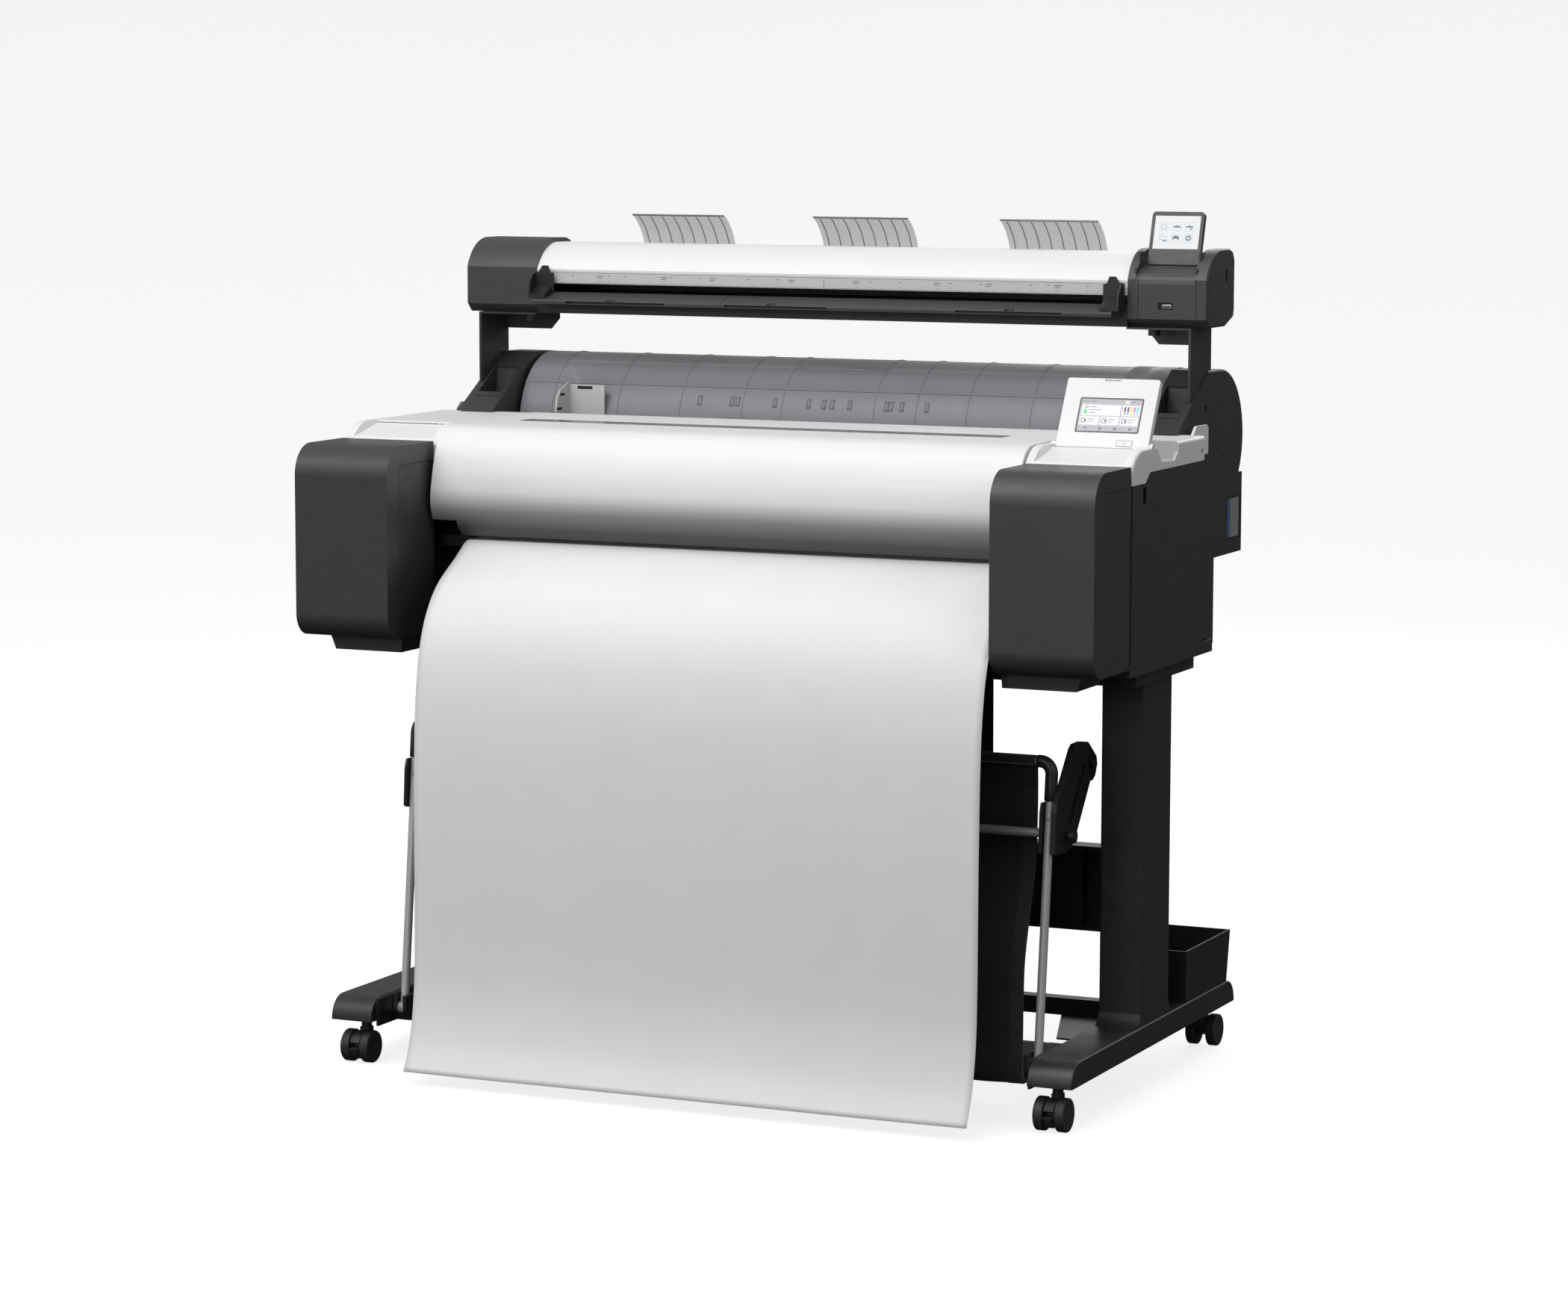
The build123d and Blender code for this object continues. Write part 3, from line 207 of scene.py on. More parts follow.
def powder_coat(name, colour, rough):
    """Powder coated sheet steel: orange peel over a faintly mottled colour."""
    look = Look(name, rough, Coat_Weight=0.12, Coat_Roughness=0.35)
    look.colour(look.ramp(look.noise(7.0, 5.0), [(0.3, shade(colour, 0.9)), (0.7, shade(colour, 1.12))]))
    look.gloss(look.range(look.noise(40.0, 3.0), rough - 0.05, rough + 0.06))
    look.relief((look.noise(420.0, 2.0), 0.00035, 0.32), (look.cells(1100.0), 0.00012, 0.25))
    return look.material


def grey(value):
    return (value, value, value)


def pearl_cover(name, colour, rough):
    """Silver-white paint with flake and faint flow streaks, and painted shade that darkens the top cover's
    nose towards its lower edge.
    """
    look = Look(name, rough, Metallic=0.08)
    flow = look.noise(30.0, 4.0, stretch=(0.12, 5.0, 5.0))
    flake = look.cells(5200.0)
    streaks = look.product(flow, look.range(flow, 0.9, 1.0))
    both = look.total(streaks, look.range(flake, -0.03, 0.03, (0.0, 1.0)))
    tint = look.ramp(both, [(0.2, shade(colour, 0.965)), (0.8, shade(colour, 1.02))])
    # Painted shade: the colour falls to a tenth of full at the nose's lower edge.
    nose_shade = look.ramp(look.range(look.height(), 0.0, 1.0, NOSE_SHADE_HEIGHTS),
                      [(0.0, grey(0.10)), (0.3, grey(0.36)), (0.65, grey(0.86)), (1.0, grey(1))])
    look.colour(look.tinted(tint, nose_shade))
    look.gloss(look.range(look.noise(18.0, 3.0), rough - 0.03, rough + 0.04))
    look.relief((flow, 0.00005, 0.12), (flake, 0.00004, 0.2))
    return look.material


def brushed(name, colour, rough, along="Z", metal=0.9):
    """Drawn metal tube: fine lines along its length."""
    stretch = {"X": (0.02, 1, 1), "Y": (1, 0.02, 1), "Z": (1, 1, 0.02)}[along]
    look = Look(name, rough, Metallic=metal)
    lines = look.noise(2400.0, 4.0, stretch=stretch)
    look.colour(look.ramp(lines, [(0.3, shade(colour, 0.9)), (0.7, shade(colour, 1.06))]))
    look.gloss(look.range(look.noise(900.0, 2.0, stretch=stretch), rough - 0.06, rough + 0.08))
    look.relief((lines, 0.00006, 0.25))
    return look.material


def woven(name, colour, rough, threads=560.0):
    """Plain woven polyester: warp and weft on every facing, fuzz, and sheen at grazing light."""
    look = Look(name, rough, Sheen_Weight=0.25, Sheen_Roughness=0.5)
    weft = look.total(look.bands(threads, "Y"), look.bands(threads, "Z"))
    weave = look.product(look.bands(threads, "X"), weft)
    fuzz = look.noise(900.0, 4.0)
    look.colour(look.ramp(look.total(look.product(weave, fuzz), look.range(look.noise(6.0, 4.0), 0.0, 0.25)),
                          [(0.1, shade(colour, 0.6)), (0.9, shade(colour, 1.5))]))
    look.relief((weave, 0.0004, 0.5), (fuzz, 0.0002, 0.3))
    return look.material


def paper_stock(name, colour):
    """Coated plain paper: short fibres, faint cloudiness when lit from the side, and a soft surface."""
    look = Look(name, 0.62, Sheen_Weight=0.05)
    fibres = look.noise(700.0, 5.0, stretch=(0.35, 1.0, 1.0), rough=0.7)
    look.colour(look.ramp(look.noise(14.0, 6.0), [(0.3, shade(colour, 0.985)), (0.7, shade(colour, 1.008))]))
    look.gloss(look.range(fibres, 0.55, 0.7))
    look.relief((fibres, 0.00005, 0.25), (look.noise(5.0, 2.0), 0.0006, 0.08))
    return look.material


def paper_winding(name, colour):
    """The wound roll: fine rings on its ends and the edge lines of the turns."""
    look = Look(name, 0.7)
    low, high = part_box("paper_roll")
    reach = look.tree.nodes.new("ShaderNodeVectorMath")
    reach.operation = "DISTANCE"
    reach.inputs[1].default_value = (0, (low.y + high.y) / 2, (low.z + high.z) / 2)
    look.join(look.stretched((0, 1, 1)), reach, 0)
    turns = look.tree.nodes.new("ShaderNodeMath")
    turns.operation = "MULTIPLY"
    turns.inputs[1].default_value = 9000.0
    look.join(reach.outputs["Value"], turns, 0)
    wave = look.tree.nodes.new("ShaderNodeMath")
    wave.operation = "SINE"
    look.join(turns.outputs["Value"], wave, 0)
    rings = look.range(wave.outputs["Value"], 0.0, 1.0, (-1.0, 1.0))
    look.colour(look.ramp(rings, [(0.0, shade(colour, 0.9)), (1.0, colour)]))
    look.relief((rings, 0.00008, 0.25), (look.noise(500.0, 3.0), 0.00005, 0.2))
    return look.material


def smoked(name, lower, upper, break_height, alpha, rough):
    """Smoked see-through plastic with one colour below a height and another above, and faint flow marks. On
    the roll cover the lighter upper colour is painted light on its top.
    """
    look = Look(name, rough, Alpha=alpha)
    # The step between the two colours; on the roll cover it paints light on the top part.
    step = look.range(look.height(), 0.0, 1.0, (break_height - 0.012, break_height + 0.012))
    haze = look.range(look.noise(7.0, 4.0, stretch=(0.5, 1, 1)), -0.06, 0.06)
    look.colour(look.ramp(look.total(step, haze), [(0.05, lower), (0.95, upper)]))
    look.gloss(look.range(look.noise(35.0, 3.0), rough - 0.05, rough + 0.05))
    look.relief((look.noise(800.0, 2.0), 0.00008, 0.25))
    return look.material


def rubber(name, colour):
    """Tyre rubber and nylon: dull, faintly dusty."""
    look = Look(name, 0.55)
    look.colour(look.ramp(look.noise(90.0, 5.0), [(0.35, colour), (0.75, shade(colour, 1.7))]))
    look.gloss(look.range(look.noise(40.0, 4.0), 0.45, 0.65))
    look.relief((look.noise(1600.0, 2.0), 0.0001, 0.35))
    return look.material


def display(name, colour, strength):
    """A lit area of a screen: fine pixel grid over its colour."""
    look = Look(name, 0.25, Emission_Strength=strength)
    grid = look.product(look.bands(2600.0, "X"), look.bands(2600.0, "Z"))
    source = look.ramp(look.total(grid, look.range(look.noise(20.0, 2.0), -0.1, 0.1)),
                       [(0.0, shade(colour, 0.96)), (1.0, colour)])
    look.colour(source)
    look.join(source, look.shader, "Emission Color")
    return look.material


CHARCOAL = moulded("charcoal_plastic", (0.040, 0.040, 0.041), 0.42, grain=1900.0)
CHARCOAL_BAY = moulded("charcoal_bay_plastic", (0.034, 0.034, 0.035), 0.48, grain=1700.0)
DARK_PANEL = moulded("dark_panel_plastic", (0.029, 0.029, 0.03), 0.5, grain=1500.0)
CAP_GREY = moulded("cap_plastic", (0.047, 0.047, 0.048), 0.4, grain=1900.0)
TABLE_GREY = moulded("table_plastic", (0.045, 0.045, 0.046), 0.5, grain=1300.0)
BLACK_TRIM = moulded("black_trim_plastic", (0.012, 0.012, 0.013), 0.45)
GAP_BLACK = moulded("shadow_gap_plastic", (0.003, 0.003, 0.003), 0.7)
WHITE = moulded("white_plastic", (0.78, 0.78, 0.78), 0.4, spread=0.012, grain=2200.0, depth=0.00006)
WHITE_SHADE = moulded("white_line_plastic", (0.22, 0.22, 0.225), 0.5, spread=0.02)
PEARL = pearl_cover("pearl_white_paint", (0.79, 0.79, 0.795), 0.5)
STRIP_GREY = moulded("scale_strip_plastic", (0.55, 0.55, 0.56), 0.45, spread=0.02, grain=2600.0)
MARK_GREY = moulded("scale_mark_ink", (0.16, 0.16, 0.17), 0.6)
GUIDE_GREY = moulded("return_guide_plastic", (0.74, 0.74, 0.76), 0.4, spread=0.02, grain=2400.0, Alpha=0.5)
GUIDE_RIM = moulded("return_guide_rim", (0.16, 0.16, 0.165), 0.4)
HOLDER_GREY = moulded("holder_plastic", (0.50, 0.50, 0.49), 0.45, spread=0.03)
STAND_BLACK = powder_coat("stand_powder_coat", (0.022, 0.022, 0.0225), 0.42)
BRACKET_BLACK = powder_coat("bracket_powder_coat", (0.028, 0.028, 0.029), 0.4)
TUBE_SILVER = brushed("drawn_tube", (0.52, 0.52, 0.52), 0.45, metal=0.35)
ROD_SILVER = brushed("cross_rod_steel", (0.46, 0.46, 0.46), 0.38, along="X", metal=0.5)
STEM_STEEL = brushed("stem_steel", (0.55, 0.55, 0.55), 0.35, metal=0.35)
STEEL = brushed("ground_steel", (0.55, 0.55, 0.56), 0.28, along="X")
CLOTH_BLACK = woven("basket_weave", (0.012, 0.012, 0.0125), 0.85)
BINDING = woven("basket_binding", (0.02, 0.02, 0.021), 0.8, threads=900.0)
THREAD = woven("basket_thread", (0.05, 0.05, 0.052), 0.8, threads=1800.0)
PAPER = paper_stock("coated_paper", (0.77, 0.77, 0.77))
WINDING = paper_winding("wound_paper", (0.78, 0.78, 0.77))
# The roll cover's lighter colour above 1.030 m is painted light on its top part.
ROLL_SMOKE = smoked("smoked_roll_cover", (0.27, 0.262, 0.285), (0.42, 0.41, 0.44), 1.030, 0.80, 0.4)
WINDOW_SMOKE = smoked("smoked_window", (0.14, 0.14, 0.15), (0.12, 0.12, 0.13), 1.5, 0.93, 0.14)
WHEEL = rubber("caster_nylon", (0.018, 0.018, 0.019))
SCREEN_BLACK = moulded("screen_glass_black", (0.006, 0.006, 0.007), 0.12, grain=3000.0, depth=0.00001)
TANK = moulded("tank_plastic", (0.05, 0.05, 0.052), 0.25)

UI_BACK = display("ui_background", (0.46, 0.47, 0.48), 0.12)
UI_WHITE = display("ui_card", (0.66, 0.67, 0.68), 0.2)
UI_BAR = display("ui_bar", (0.38, 0.39, 0.41), 0.1)
UI_INK = display("ui_dark", (0.03, 0.035, 0.07), 0.1)
UI_TEXT = display("ui_line", (0.14, 0.15, 0.18), 0.08)
UI_GREEN = display("ui_green", (0.10, 0.52, 0.16), 0.3)
UI_ORANGE = display("ui_orange", (0.80, 0.33, 0.22), 0.3)
UI_YELLOW = display("ui_yellow", (0.75, 0.48, 0.03), 0.3)
UI_MAGENTA = display("ui_magenta", (0.60, 0.02, 0.55), 0.3)
UI_CYAN = display("ui_cyan", (0.03, 0.45, 0.65), 0.3)
UI_SLATE = display("ui_slate", (0.09, 0.15, 0.20), 0.1)
UI_PALE = display("ui_pale", (0.34, 0.41, 0.46), 0.12)
LABEL_BLUE = moulded("label_blue_print", (0.05, 0.13, 0.30), 0.3)
LABEL_GREY = moulded("label_grey_print", (0.28, 0.29, 0.29), 0.3)

NODE_LOOKS = {
    CHARCOAL: ["left_ink_cover", "right_ink_cover"],
    CHARCOAL_BAY: ["left_ink_bay", "right_ink_bay"],
    DARK_PANEL: ["left_side_panel", "right_side_panel", "base_casing", "left_roll_casing",
                 "right_roll_casing", "rear_casing"],
    CAP_GREY: ["left_scanner_cap", "right_scanner_cap", "scanner_panel"],
    TABLE_GREY: ["scanner_feed_table"],
    BLACK_TRIM: ["scanner_base", "basket_clamps", "left_basket_arm", "right_basket_arm", "platen",
                 "print_carriage", "left_document_guide", "right_document_guide", "accessory_tray"],
    WHITE: ["left_shoulder_cover", "right_shoulder_cover", "operation_panel", "power_button"],
    PEARL: ["top_cover", "scanner_cover"],
    WINDOW_SMOKE: ["cover_window"],
    ROLL_SMOKE: ["roll_cover"],
    STAND_BLACK: ["left_foot", "right_foot", "left_column", "right_column", "lower_crossbar",
                  "rear_stay_panel"],
    BRACKET_BLACK: ["left_scanner_post", "right_scanner_post"],
    TUBE_SILVER: ["basket_frame"],
    ROD_SILVER: ["basket_cross_rod"],
    STEEL: ["print_frame"],
    WHEEL: ["feed_roller", "front_left_caster_lever", "front_right_caster_lever"]
           + [f"{end}_{hand}_caster_{part}" for end in ("front", "rear") for hand in ("left", "right")
              for part in ("fork", "wheels")],
    GUIDE_GREY: ["return_guides"],
    HOLDER_GREY: ["roll_holder"],
    WINDING: ["paper_roll"],
    SCREEN_BLACK: ["operation_screen"],
    TANK: ["ink_tanks"],
    PAPER: ["paper_sheet"],
    CLOTH_BLACK: ["basket_cloth"],
}
for look, names in NODE_LOOKS.items():
    for node_name in names:
        slots = NODES[node_name].data.materials
        for index in range(len(slots)):
            slots[index] = look


# ------------------------------------------------------------------ mesh helpers
class Trim:
    """Small solid shapes gathered into one piece that rides on a body."""

    def __init__(self, name, body, slot):
        self.name, self.body, self.slot = name, body, slot
        self.mesh = bmesh.new()
        self.materials = []

    def index_of(self, material):
        if material not in self.materials:
            self.materials.append(material)
        return self.materials.index(material)

    def slab(self, outline, rise, material):
        """A closed prism: a flat outline of points and the vector that it is raised by."""
        index = self.index_of(material)
        low = [self.mesh.verts.new(p) for p in outline]
        high = [self.mesh.verts.new(p + rise) for p in outline]
        count = len(outline)
        faces = [self.mesh.faces.new(low[::-1]), self.mesh.faces.new(high)]
        for i in range(count):
            j = (i + 1) % count
            faces.append(self.mesh.faces.new((low[i], low[j], high[j], high[i])))
        for face in faces:
            face.material_index = index

    def facing_front(self, outline, depth, rise, material):
        """A slab whose outline is (x, height) and which rises by some millimetres along the depth."""
        self.slab([at(x, depth, z) for x, z in outline], Vector((0, rise * MM, 0)), material)

    def facing_side(self, outline, x, rise, material):
        """A slab whose outline is (depth, height) and which rises by some millimetres along X."""
        self.slab([at(x, depth, z) for depth, z in outline], Vector((rise * MM, 0, 0)), material)

    def grid(self, rows, material, closed=False):
        """A smooth surface through rows of points; closed joins the rows' ends and caps both openings."""
        index = self.index_of(material)
        made = [[self.mesh.verts.new(p) for p in row] for row in rows]
        for first, second in zip(made, made[1:]):
            last = len(first) if closed else len(first) - 1
            for i in range(last):
                j = (i + 1) % len(first)
                face = self.mesh.faces.new((first[i], first[j], second[j], second[i]))
                face.smooth = True
                face.material_index = index
        if closed:
            for cap in (made[0][::-1], made[-1]):
                self.mesh.faces.new(cap).material_index = index

    def done(self):
        bmesh.ops.recalc_face_normals(self.mesh, faces=self.mesh.faces)
        data = bpy.data.meshes.new(self.name)
        self.mesh.to_mesh(data)
        self.mesh.free()
        for material in self.materials:
            data.materials.append(material)
        piece = bpy.data.objects.new(self.name, data)
        bpy.context.scene.collection.objects.link(piece)
        if self.body:
            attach(piece, self.body)
        return piece


def soften(piece, width, segments=2):
    """Rounds a piece's sharp edges."""
    bevel = piece.modifiers.new("soft_edges", "BEVEL")
    bevel.width = width
    bevel.segments = segments
    bevel.limit_method = "ANGLE"


def thicken(piece, name, thickness):
    """Gives a surface a thickness in millimetres, half on each side."""
    shell = piece.modifiers.new(name, "SOLIDIFY")
    shell.thickness = thickness * MM
    shell.offset = 0.0


def rounded(x0, y0, x1, y1, radius, steps=4):
    """A rounded rectangle as a list of flat points."""
    points = []
    for cx, cy, start in ((x1 - radius, y1 - radius, 0), (x0 + radius, y1 - radius, 90),
                          (x0 + radius, y0 + radius, 180), (x1 - radius, y0 + radius, 270)):
        for i in range(steps + 1):
            angle = radians(start + 90 * i / steps)
            points.append((cx + radius * cos(angle), cy + radius * sin(angle)))
    return points


def disc(cx, cy, radius, steps=24):
    turns = [2 * pi * i / steps for i in range(steps)]
    return [(cx + radius * cos(turn), cy + radius * sin(turn)) for turn in turns]


def thin_line(start, end, half_width, overrun=0.0):
    """The outline of a thin straight line between two flat points."""
    along = (Vector(end) - Vector(start)).normalized()
    side = Vector((-along.y, along.x)) * half_width
    first, last = Vector(start) - along * overrun, Vector(end) + along * overrun
    return [first + side, last + side, last - side, first - side]


def box_outline(x0, y0, x1, y1):
    return [(x0, y0), (x1, y0), (x1, y1), (x0, y1)]


class Board:
    """The leaning front face of a CAD node, drawn on in millimetres from its lower left corner.

    Each shape lies in a layer: how far its lower and its upper face stand off the surface.
    """

    def __init__(self, node, lean, trim):
        tilt = radians(lean)
        self.trim = trim
        self.up = Vector((0, sin(tilt), cos(tilt)))
        self.out = Vector((0, -cos(tilt), sin(tilt)))
        points = [v.co for v in NODES[node].data.vertices]
        self.lift = max(p.dot(self.out) for p in points)
        face = [p for p in points if p.dot(self.out) > self.lift - 0.0002]
        self.left = min(p.x for p in face)
        self.low = min(p.dot(self.up) for p in face)
        self.width = (max(p.x for p in face) - self.left) / MM
        self.height = (max(p.dot(self.up) for p in face) - self.low) / MM

    def spot(self, x, y, lift):
        return (Vector((self.left + x * MM, 0, 0)) + self.up * (self.low + y * MM)
                + self.out * (self.lift + lift * MM))

    def draw(self, outline, material, layer):
        low, high = layer
        self.trim.slab([self.spot(x, y, low) for x, y in outline], self.out * ((high - low) * MM), material)

    def box(self, x0, y0, x1, y1, material, layer):
        self.draw(box_outline(x0, y0, x1, y1), material, layer)

    def card(self, x0, y0, x1, y1, radius, material, layer):
        self.draw(rounded(x0, y0, x1, y1, radius), material, layer)

    def ring(self, cx, cy, outer, inner, material, layer, gap=None):
        """A round band drawn as short slabs, open over an angle range where gap is given."""
        steps = 20
        for i in range(steps):
            a, b = 360 * i / steps, 360 * (i + 1) / steps
            if gap and gap[0] <= (a + b) / 2 <= gap[1]:
                continue
            corners = ((inner, a), (outer, a), (outer, b), (inner, b))
            self.draw([(cx + r * cos(radians(t)), cy + r * sin(radians(t))) for r, t in corners],
                      material, layer)


# ------------------------------------------------------------------ screens
BACK_LAYER = (0.01, 0.05)
BAR_LAYER = (0.04, 0.08)
CARD_LAYER = (0.06, 0.10)
INK_LAYER = (0.10, 0.13)


def operation_picture():
    """Plain cards, bars and rings in the layout of the photo's screen, each layer a little above the last."""
    trim = Trim("operation_screen_picture", "control_panel", "screen_glass")
    board = Board("operation_screen", PANEL_LEAN, trim)
    w, h = board.width, board.height

    def line(x0, x1, y, thick=0.9):
        board.box(x0, y - thick / 2, x1, y + thick / 2, UI_TEXT, INK_LAYER)

    board.card(2.1, 2.1, w - 2.1, h - 2.1, 1.2, UI_BACK, BACK_LAYER)
    board.box(2.3, h - 9.5, w - 2.3, h - 2.6, UI_BAR, BAR_LAYER)
    board.box(2.3, 2.4, w - 2.3, 10.6, UI_BAR, BAR_LAYER)
    for x0, x1, drop in ((4, 13.5, 5.6), (14.8, 17, 5.6), (18.2, 25, 5.6), (79, 86, 5.8)):
        line(x0, x1, h - drop)
    board.card(70, h - 8.6, 76.5, h - 3.2, 1, UI_WHITE, (0.08, 0.10))
    board.ring(73.2, h - 5.9, 1.9, 1.3, UI_ORANGE, INK_LAYER)
    card_top, card_low = h - 11.2, h - 28.2
    board.card(4.5, card_low, 64.5, card_top, 1, UI_WHITE, CARD_LAYER)
    board.card(67, card_low, 94, card_top, 1, UI_WHITE, CARD_LAYER)
    board.card(9, card_top - 5.2, 14, card_top - 1.6, 0.6, UI_TEXT, (0.10, 0.12))
    board.card(9.8, card_top - 4.4, 13.2, card_top - 2.4, 0.4, UI_WHITE, (0.12, 0.13))
    board.card(8.2, card_low + 2.4, 13.2, card_low + 9.4, 0.5, UI_GREEN, INK_LAYER)
    for row, end in enumerate((27, 35, 26)):
        line(17, end, card_top - 3.6 - row * 4.6)
    for column, ink in enumerate((UI_INK, UI_INK, UI_YELLOW, UI_MAGENTA, UI_CYAN)):
        x = 70.2 + column * 4.8
        board.box(x, card_low + 6.6, x + 2.6, card_top - 2.4, ink, INK_LAYER)
        board.box(x + 0.2, card_low + 3.6, x + 2.4, card_low + 5.4, ink, INK_LAYER)
        board.box(x + 0.6, card_low + 1.6, x + 2.0, card_low + 2.4, UI_TEXT, INK_LAYER)
    for x0, x1 in ((4.5, 33.5), (36, 64.5), (67, 94)):
        board.card(x0, 12.0, x1, card_low - 1.8, 1, UI_WHITE, CARD_LAYER)
        board.card(x0 + 2.2, 15.2, x0 + 9.4, card_low - 4.6, 0.8, UI_INK, (0.10, 0.115))
        board.card(x0 + 3.1, 16.1, x0 + 8.5, card_low - 5.5, 0.5, UI_WHITE, (0.115, 0.125))
        board.draw(disc(x0 + 7.6, 18.8, 1.5), UI_INK, (0.125, 0.14))
        line(x0 + 11.5, x0 + 22, 21.2)
        line(x0 + 11.5, x0 + 19.5, 17.4)
    for x, gap in ((14.5, (200, 340)), (37.5, None), (61, None)):
        board.ring(x, 6.2, 2.3, 1.2, UI_INK, INK_LAYER, gap=gap)
        line(x + 11.6, x + 12, 6.2, thick=4)
    board.box(81.6, 4.4, 86.4, 8, UI_TEXT, INK_LAYER)
    trim.done()


def power_symbol():
    """The usual broken ring and bar on the power button."""
    trim = Trim("power_symbol", "power_key", "screen_glass")
    board = Board("power_button", PANEL_LEAN, trim)
    cx, cy, layer = board.width / 2, board.height / 2, (0.0, 0.05)
    board.ring(cx, cy - 0.2, 2.4, 1.95, WHITE_SHADE, layer, gap=(62, 118))
    board.box(cx - 0.22, cy + 0.3, cx + 0.22, cy + 2.8, WHITE_SHADE, layer)
    trim.done()


def touch_icon(board, icon, cx, cy):
    """One tile of the touch panel with plain pages, a bar, a block or a cog on it."""
    half, icon_layer = 13.6 / 2, (-0.37, -0.33)

    def part(x0, y0, x1, y1, radius, material, layer=icon_layer):
        board.card(cx + x0, cy + y0, cx + x1, cy + y1, radius, material, layer)

    part(-half, -half, half, half, 2, UI_PALE, (-0.45, -0.41))
    part(0.4 - half, 0.4 - half, half - 0.4, half - 0.4, 1.7, UI_WHITE, (-0.41, -0.37))
    if icon in (0, 3):
        for dx, dy in ((-2.6, 0.6), (1.2, -0.8)):
            rise = dx * 0.001
            part(dx - 2.4, dy - 3.6, dx + 2.4, dy + 3.6, 0.5, UI_SLATE, (-0.37, -0.35 + rise))
            part(dx - 1.9, dy - 3.1, dx + 1.9, dy + 3.1, 0.4, UI_WHITE, (-0.35, -0.33 + rise))
        if icon == 3:
            part(-0.5, -5.4, 6, -3.6, 0.6, UI_SLATE, (-0.37, -0.31))
    elif icon in (1, 2):
        part(-5.6, -1.3, 5.6, 0.9, 0.7, UI_SLATE)
        part(-2.6, 0.9, 2.6, 2.9, 0.8, UI_PALE)
        if icon == 2:
            part(0.6, -4.4, 4.8, -2.4, 0.9, UI_SLATE)
    elif icon == 4:
        part(-5.2, -2.6, 5.2, 2.2, 1.4, UI_SLATE)
        part(-3.4, 1.4, 3.4, 3.6, 0.6, UI_SLATE)
        board.box(cx - 2.6, cy - 3.4, cx + 2.6, cy - 1.2, UI_WHITE, (-0.33, -0.31))
    else:
        board.ring(cx, cy, 3.7, 2.1, UI_SLATE, icon_layer)
        for tooth in range(8):
            turn = pi * tooth / 4
            along, across = Vector((cos(turn), sin(turn))), Vector((-sin(turn), cos(turn)))
            shape = ((3.5, -0.9), (5.2, -0.7), (5.2, 0.7), (3.5, 0.9))
            corners = [along * r + across * s for r, s in shape]
            board.draw([(cx + c.x, cy + c.y) for c in corners], UI_SLATE, icon_layer)


def touch_picture():
    """Six plain icons on the scanner's touch panel, sunk below its rim, and its round button."""
    trim = Trim("scanner_panel_picture", "touch_panel", "screen_glass")
    board = Board("scanner_panel", SCAN_PANEL_LEAN, trim)
    x0, y0, x1, y1 = 4.6, 24.2, board.width - 4.6, board.height - 5.8
    board.card(x0, y0, x1, y1, 0.8, UI_WHITE, (-0.9, -0.45))
    shares = [(across, up) for up in (0.67, 0.335) for across in (0.215, 0.49, 0.765)]
    for icon, (across, up) in enumerate(shares):
        touch_icon(board, icon, x0 + across * (x1 - x0), y0 + up * (y1 - y0))
    button_x, button_y = 0.68 * board.width, 7.6
    board.ring(button_x, button_y, 1.7, 1.2, BLACK_TRIM, (-0.05, 0.08))
    board.draw(disc(button_x, button_y, 1.1), CAP_GREY, (-0.05, 0.02))
    trim.done()


# ------------------------------------------------------------------ scanner trim
def scanner_scale():
    """Paper size strip along the front of the scanner's cover: plain marks and short bars."""
    trim = Trim("scanner_size_strip", "scanner_lid", "grey_plastic")
    low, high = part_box("scanner_cover")
    half = high.x - 0.004
    places = (0.055, 0.078, 0.128, 0.19, 0.212, 0.262, 0.275, 0.344, 0.372, 0.388, 0.436)

    def strip(x0, x1, z0, z1, material, rise):
        outline = [Vector((x, low.y, z)) for x, z in box_outline(x0, z0, x1, z1)]
        trim.slab(outline, Vector((0, -rise * MM, 0)), material)

    strip(-half, half, 1.1822, 1.1968, STRIP_GREY, 0.3)
    strip(-half, half, 1.1972, 1.1979, MARK_GREY, 0.2)
    strip(-half, half, 1.1811, 1.1818, MARK_GREY, 0.2)
    for side in (-1, 1):
        for index, x in enumerate(places):
            wide = 0.011 if index % 3 == 0 else 0.004
            strip(side * x - wide / 2, side * x + wide / 2, 1.1925, 1.1937, MARK_GREY, 0.4)
            if index % 3 == 0:
                strip(side * x - wide / 2, side * x + wide / 4, 1.1895, 1.1906, MARK_GREY, 0.4)
            strip(side * x - 0.0003, side * x + 0.0003, 1.1838, 1.1866, MARK_GREY, 0.4)
    strip(-0.0005, 0.0005, 1.1835, 1.1945, MARK_GREY, 0.4)
    trim.done()


def guide_ribs():
    """Thin dark edges of the ribs and of the rim on the three paper return guides."""
    trim = Trim("return_guide_ribs", "machine", "dark_plastic")
    centre, radius, wide = (619.0, 1203.0), 93.7, 162.0
    rib_count, edge = 8, 10

    def bar(x0, x1, radii, first, last, steps=14):
        rows = []
        for i in range(steps + 1):
            angle = radians(first + (last - first) * i / steps)
            near, far = ((centre[0] + r * cos(angle), centre[1] + r * sin(angle)) for r in radii)
            rows.append([at(x0, *near), at(x1, *near), at(x1, *far), at(x0, *far)])
        trim.grid(rows, GUIDE_RIM, closed=True)

    for middle in (-318.0, 0.0, 318.0):
        for i in range(rib_count):
            x = middle - wide / 2 + edge + i * (wide - 2 * edge) / (rib_count - 1)
            bar(x - 0.55, x + 0.55, (radius - 0.25, radius + 0.4), -30, 60)
        bar(middle - wide / 2, middle + wide / 2, (radius - 0.5, radius + 1.6), 61.8, 63, steps=2)
    trim.done()


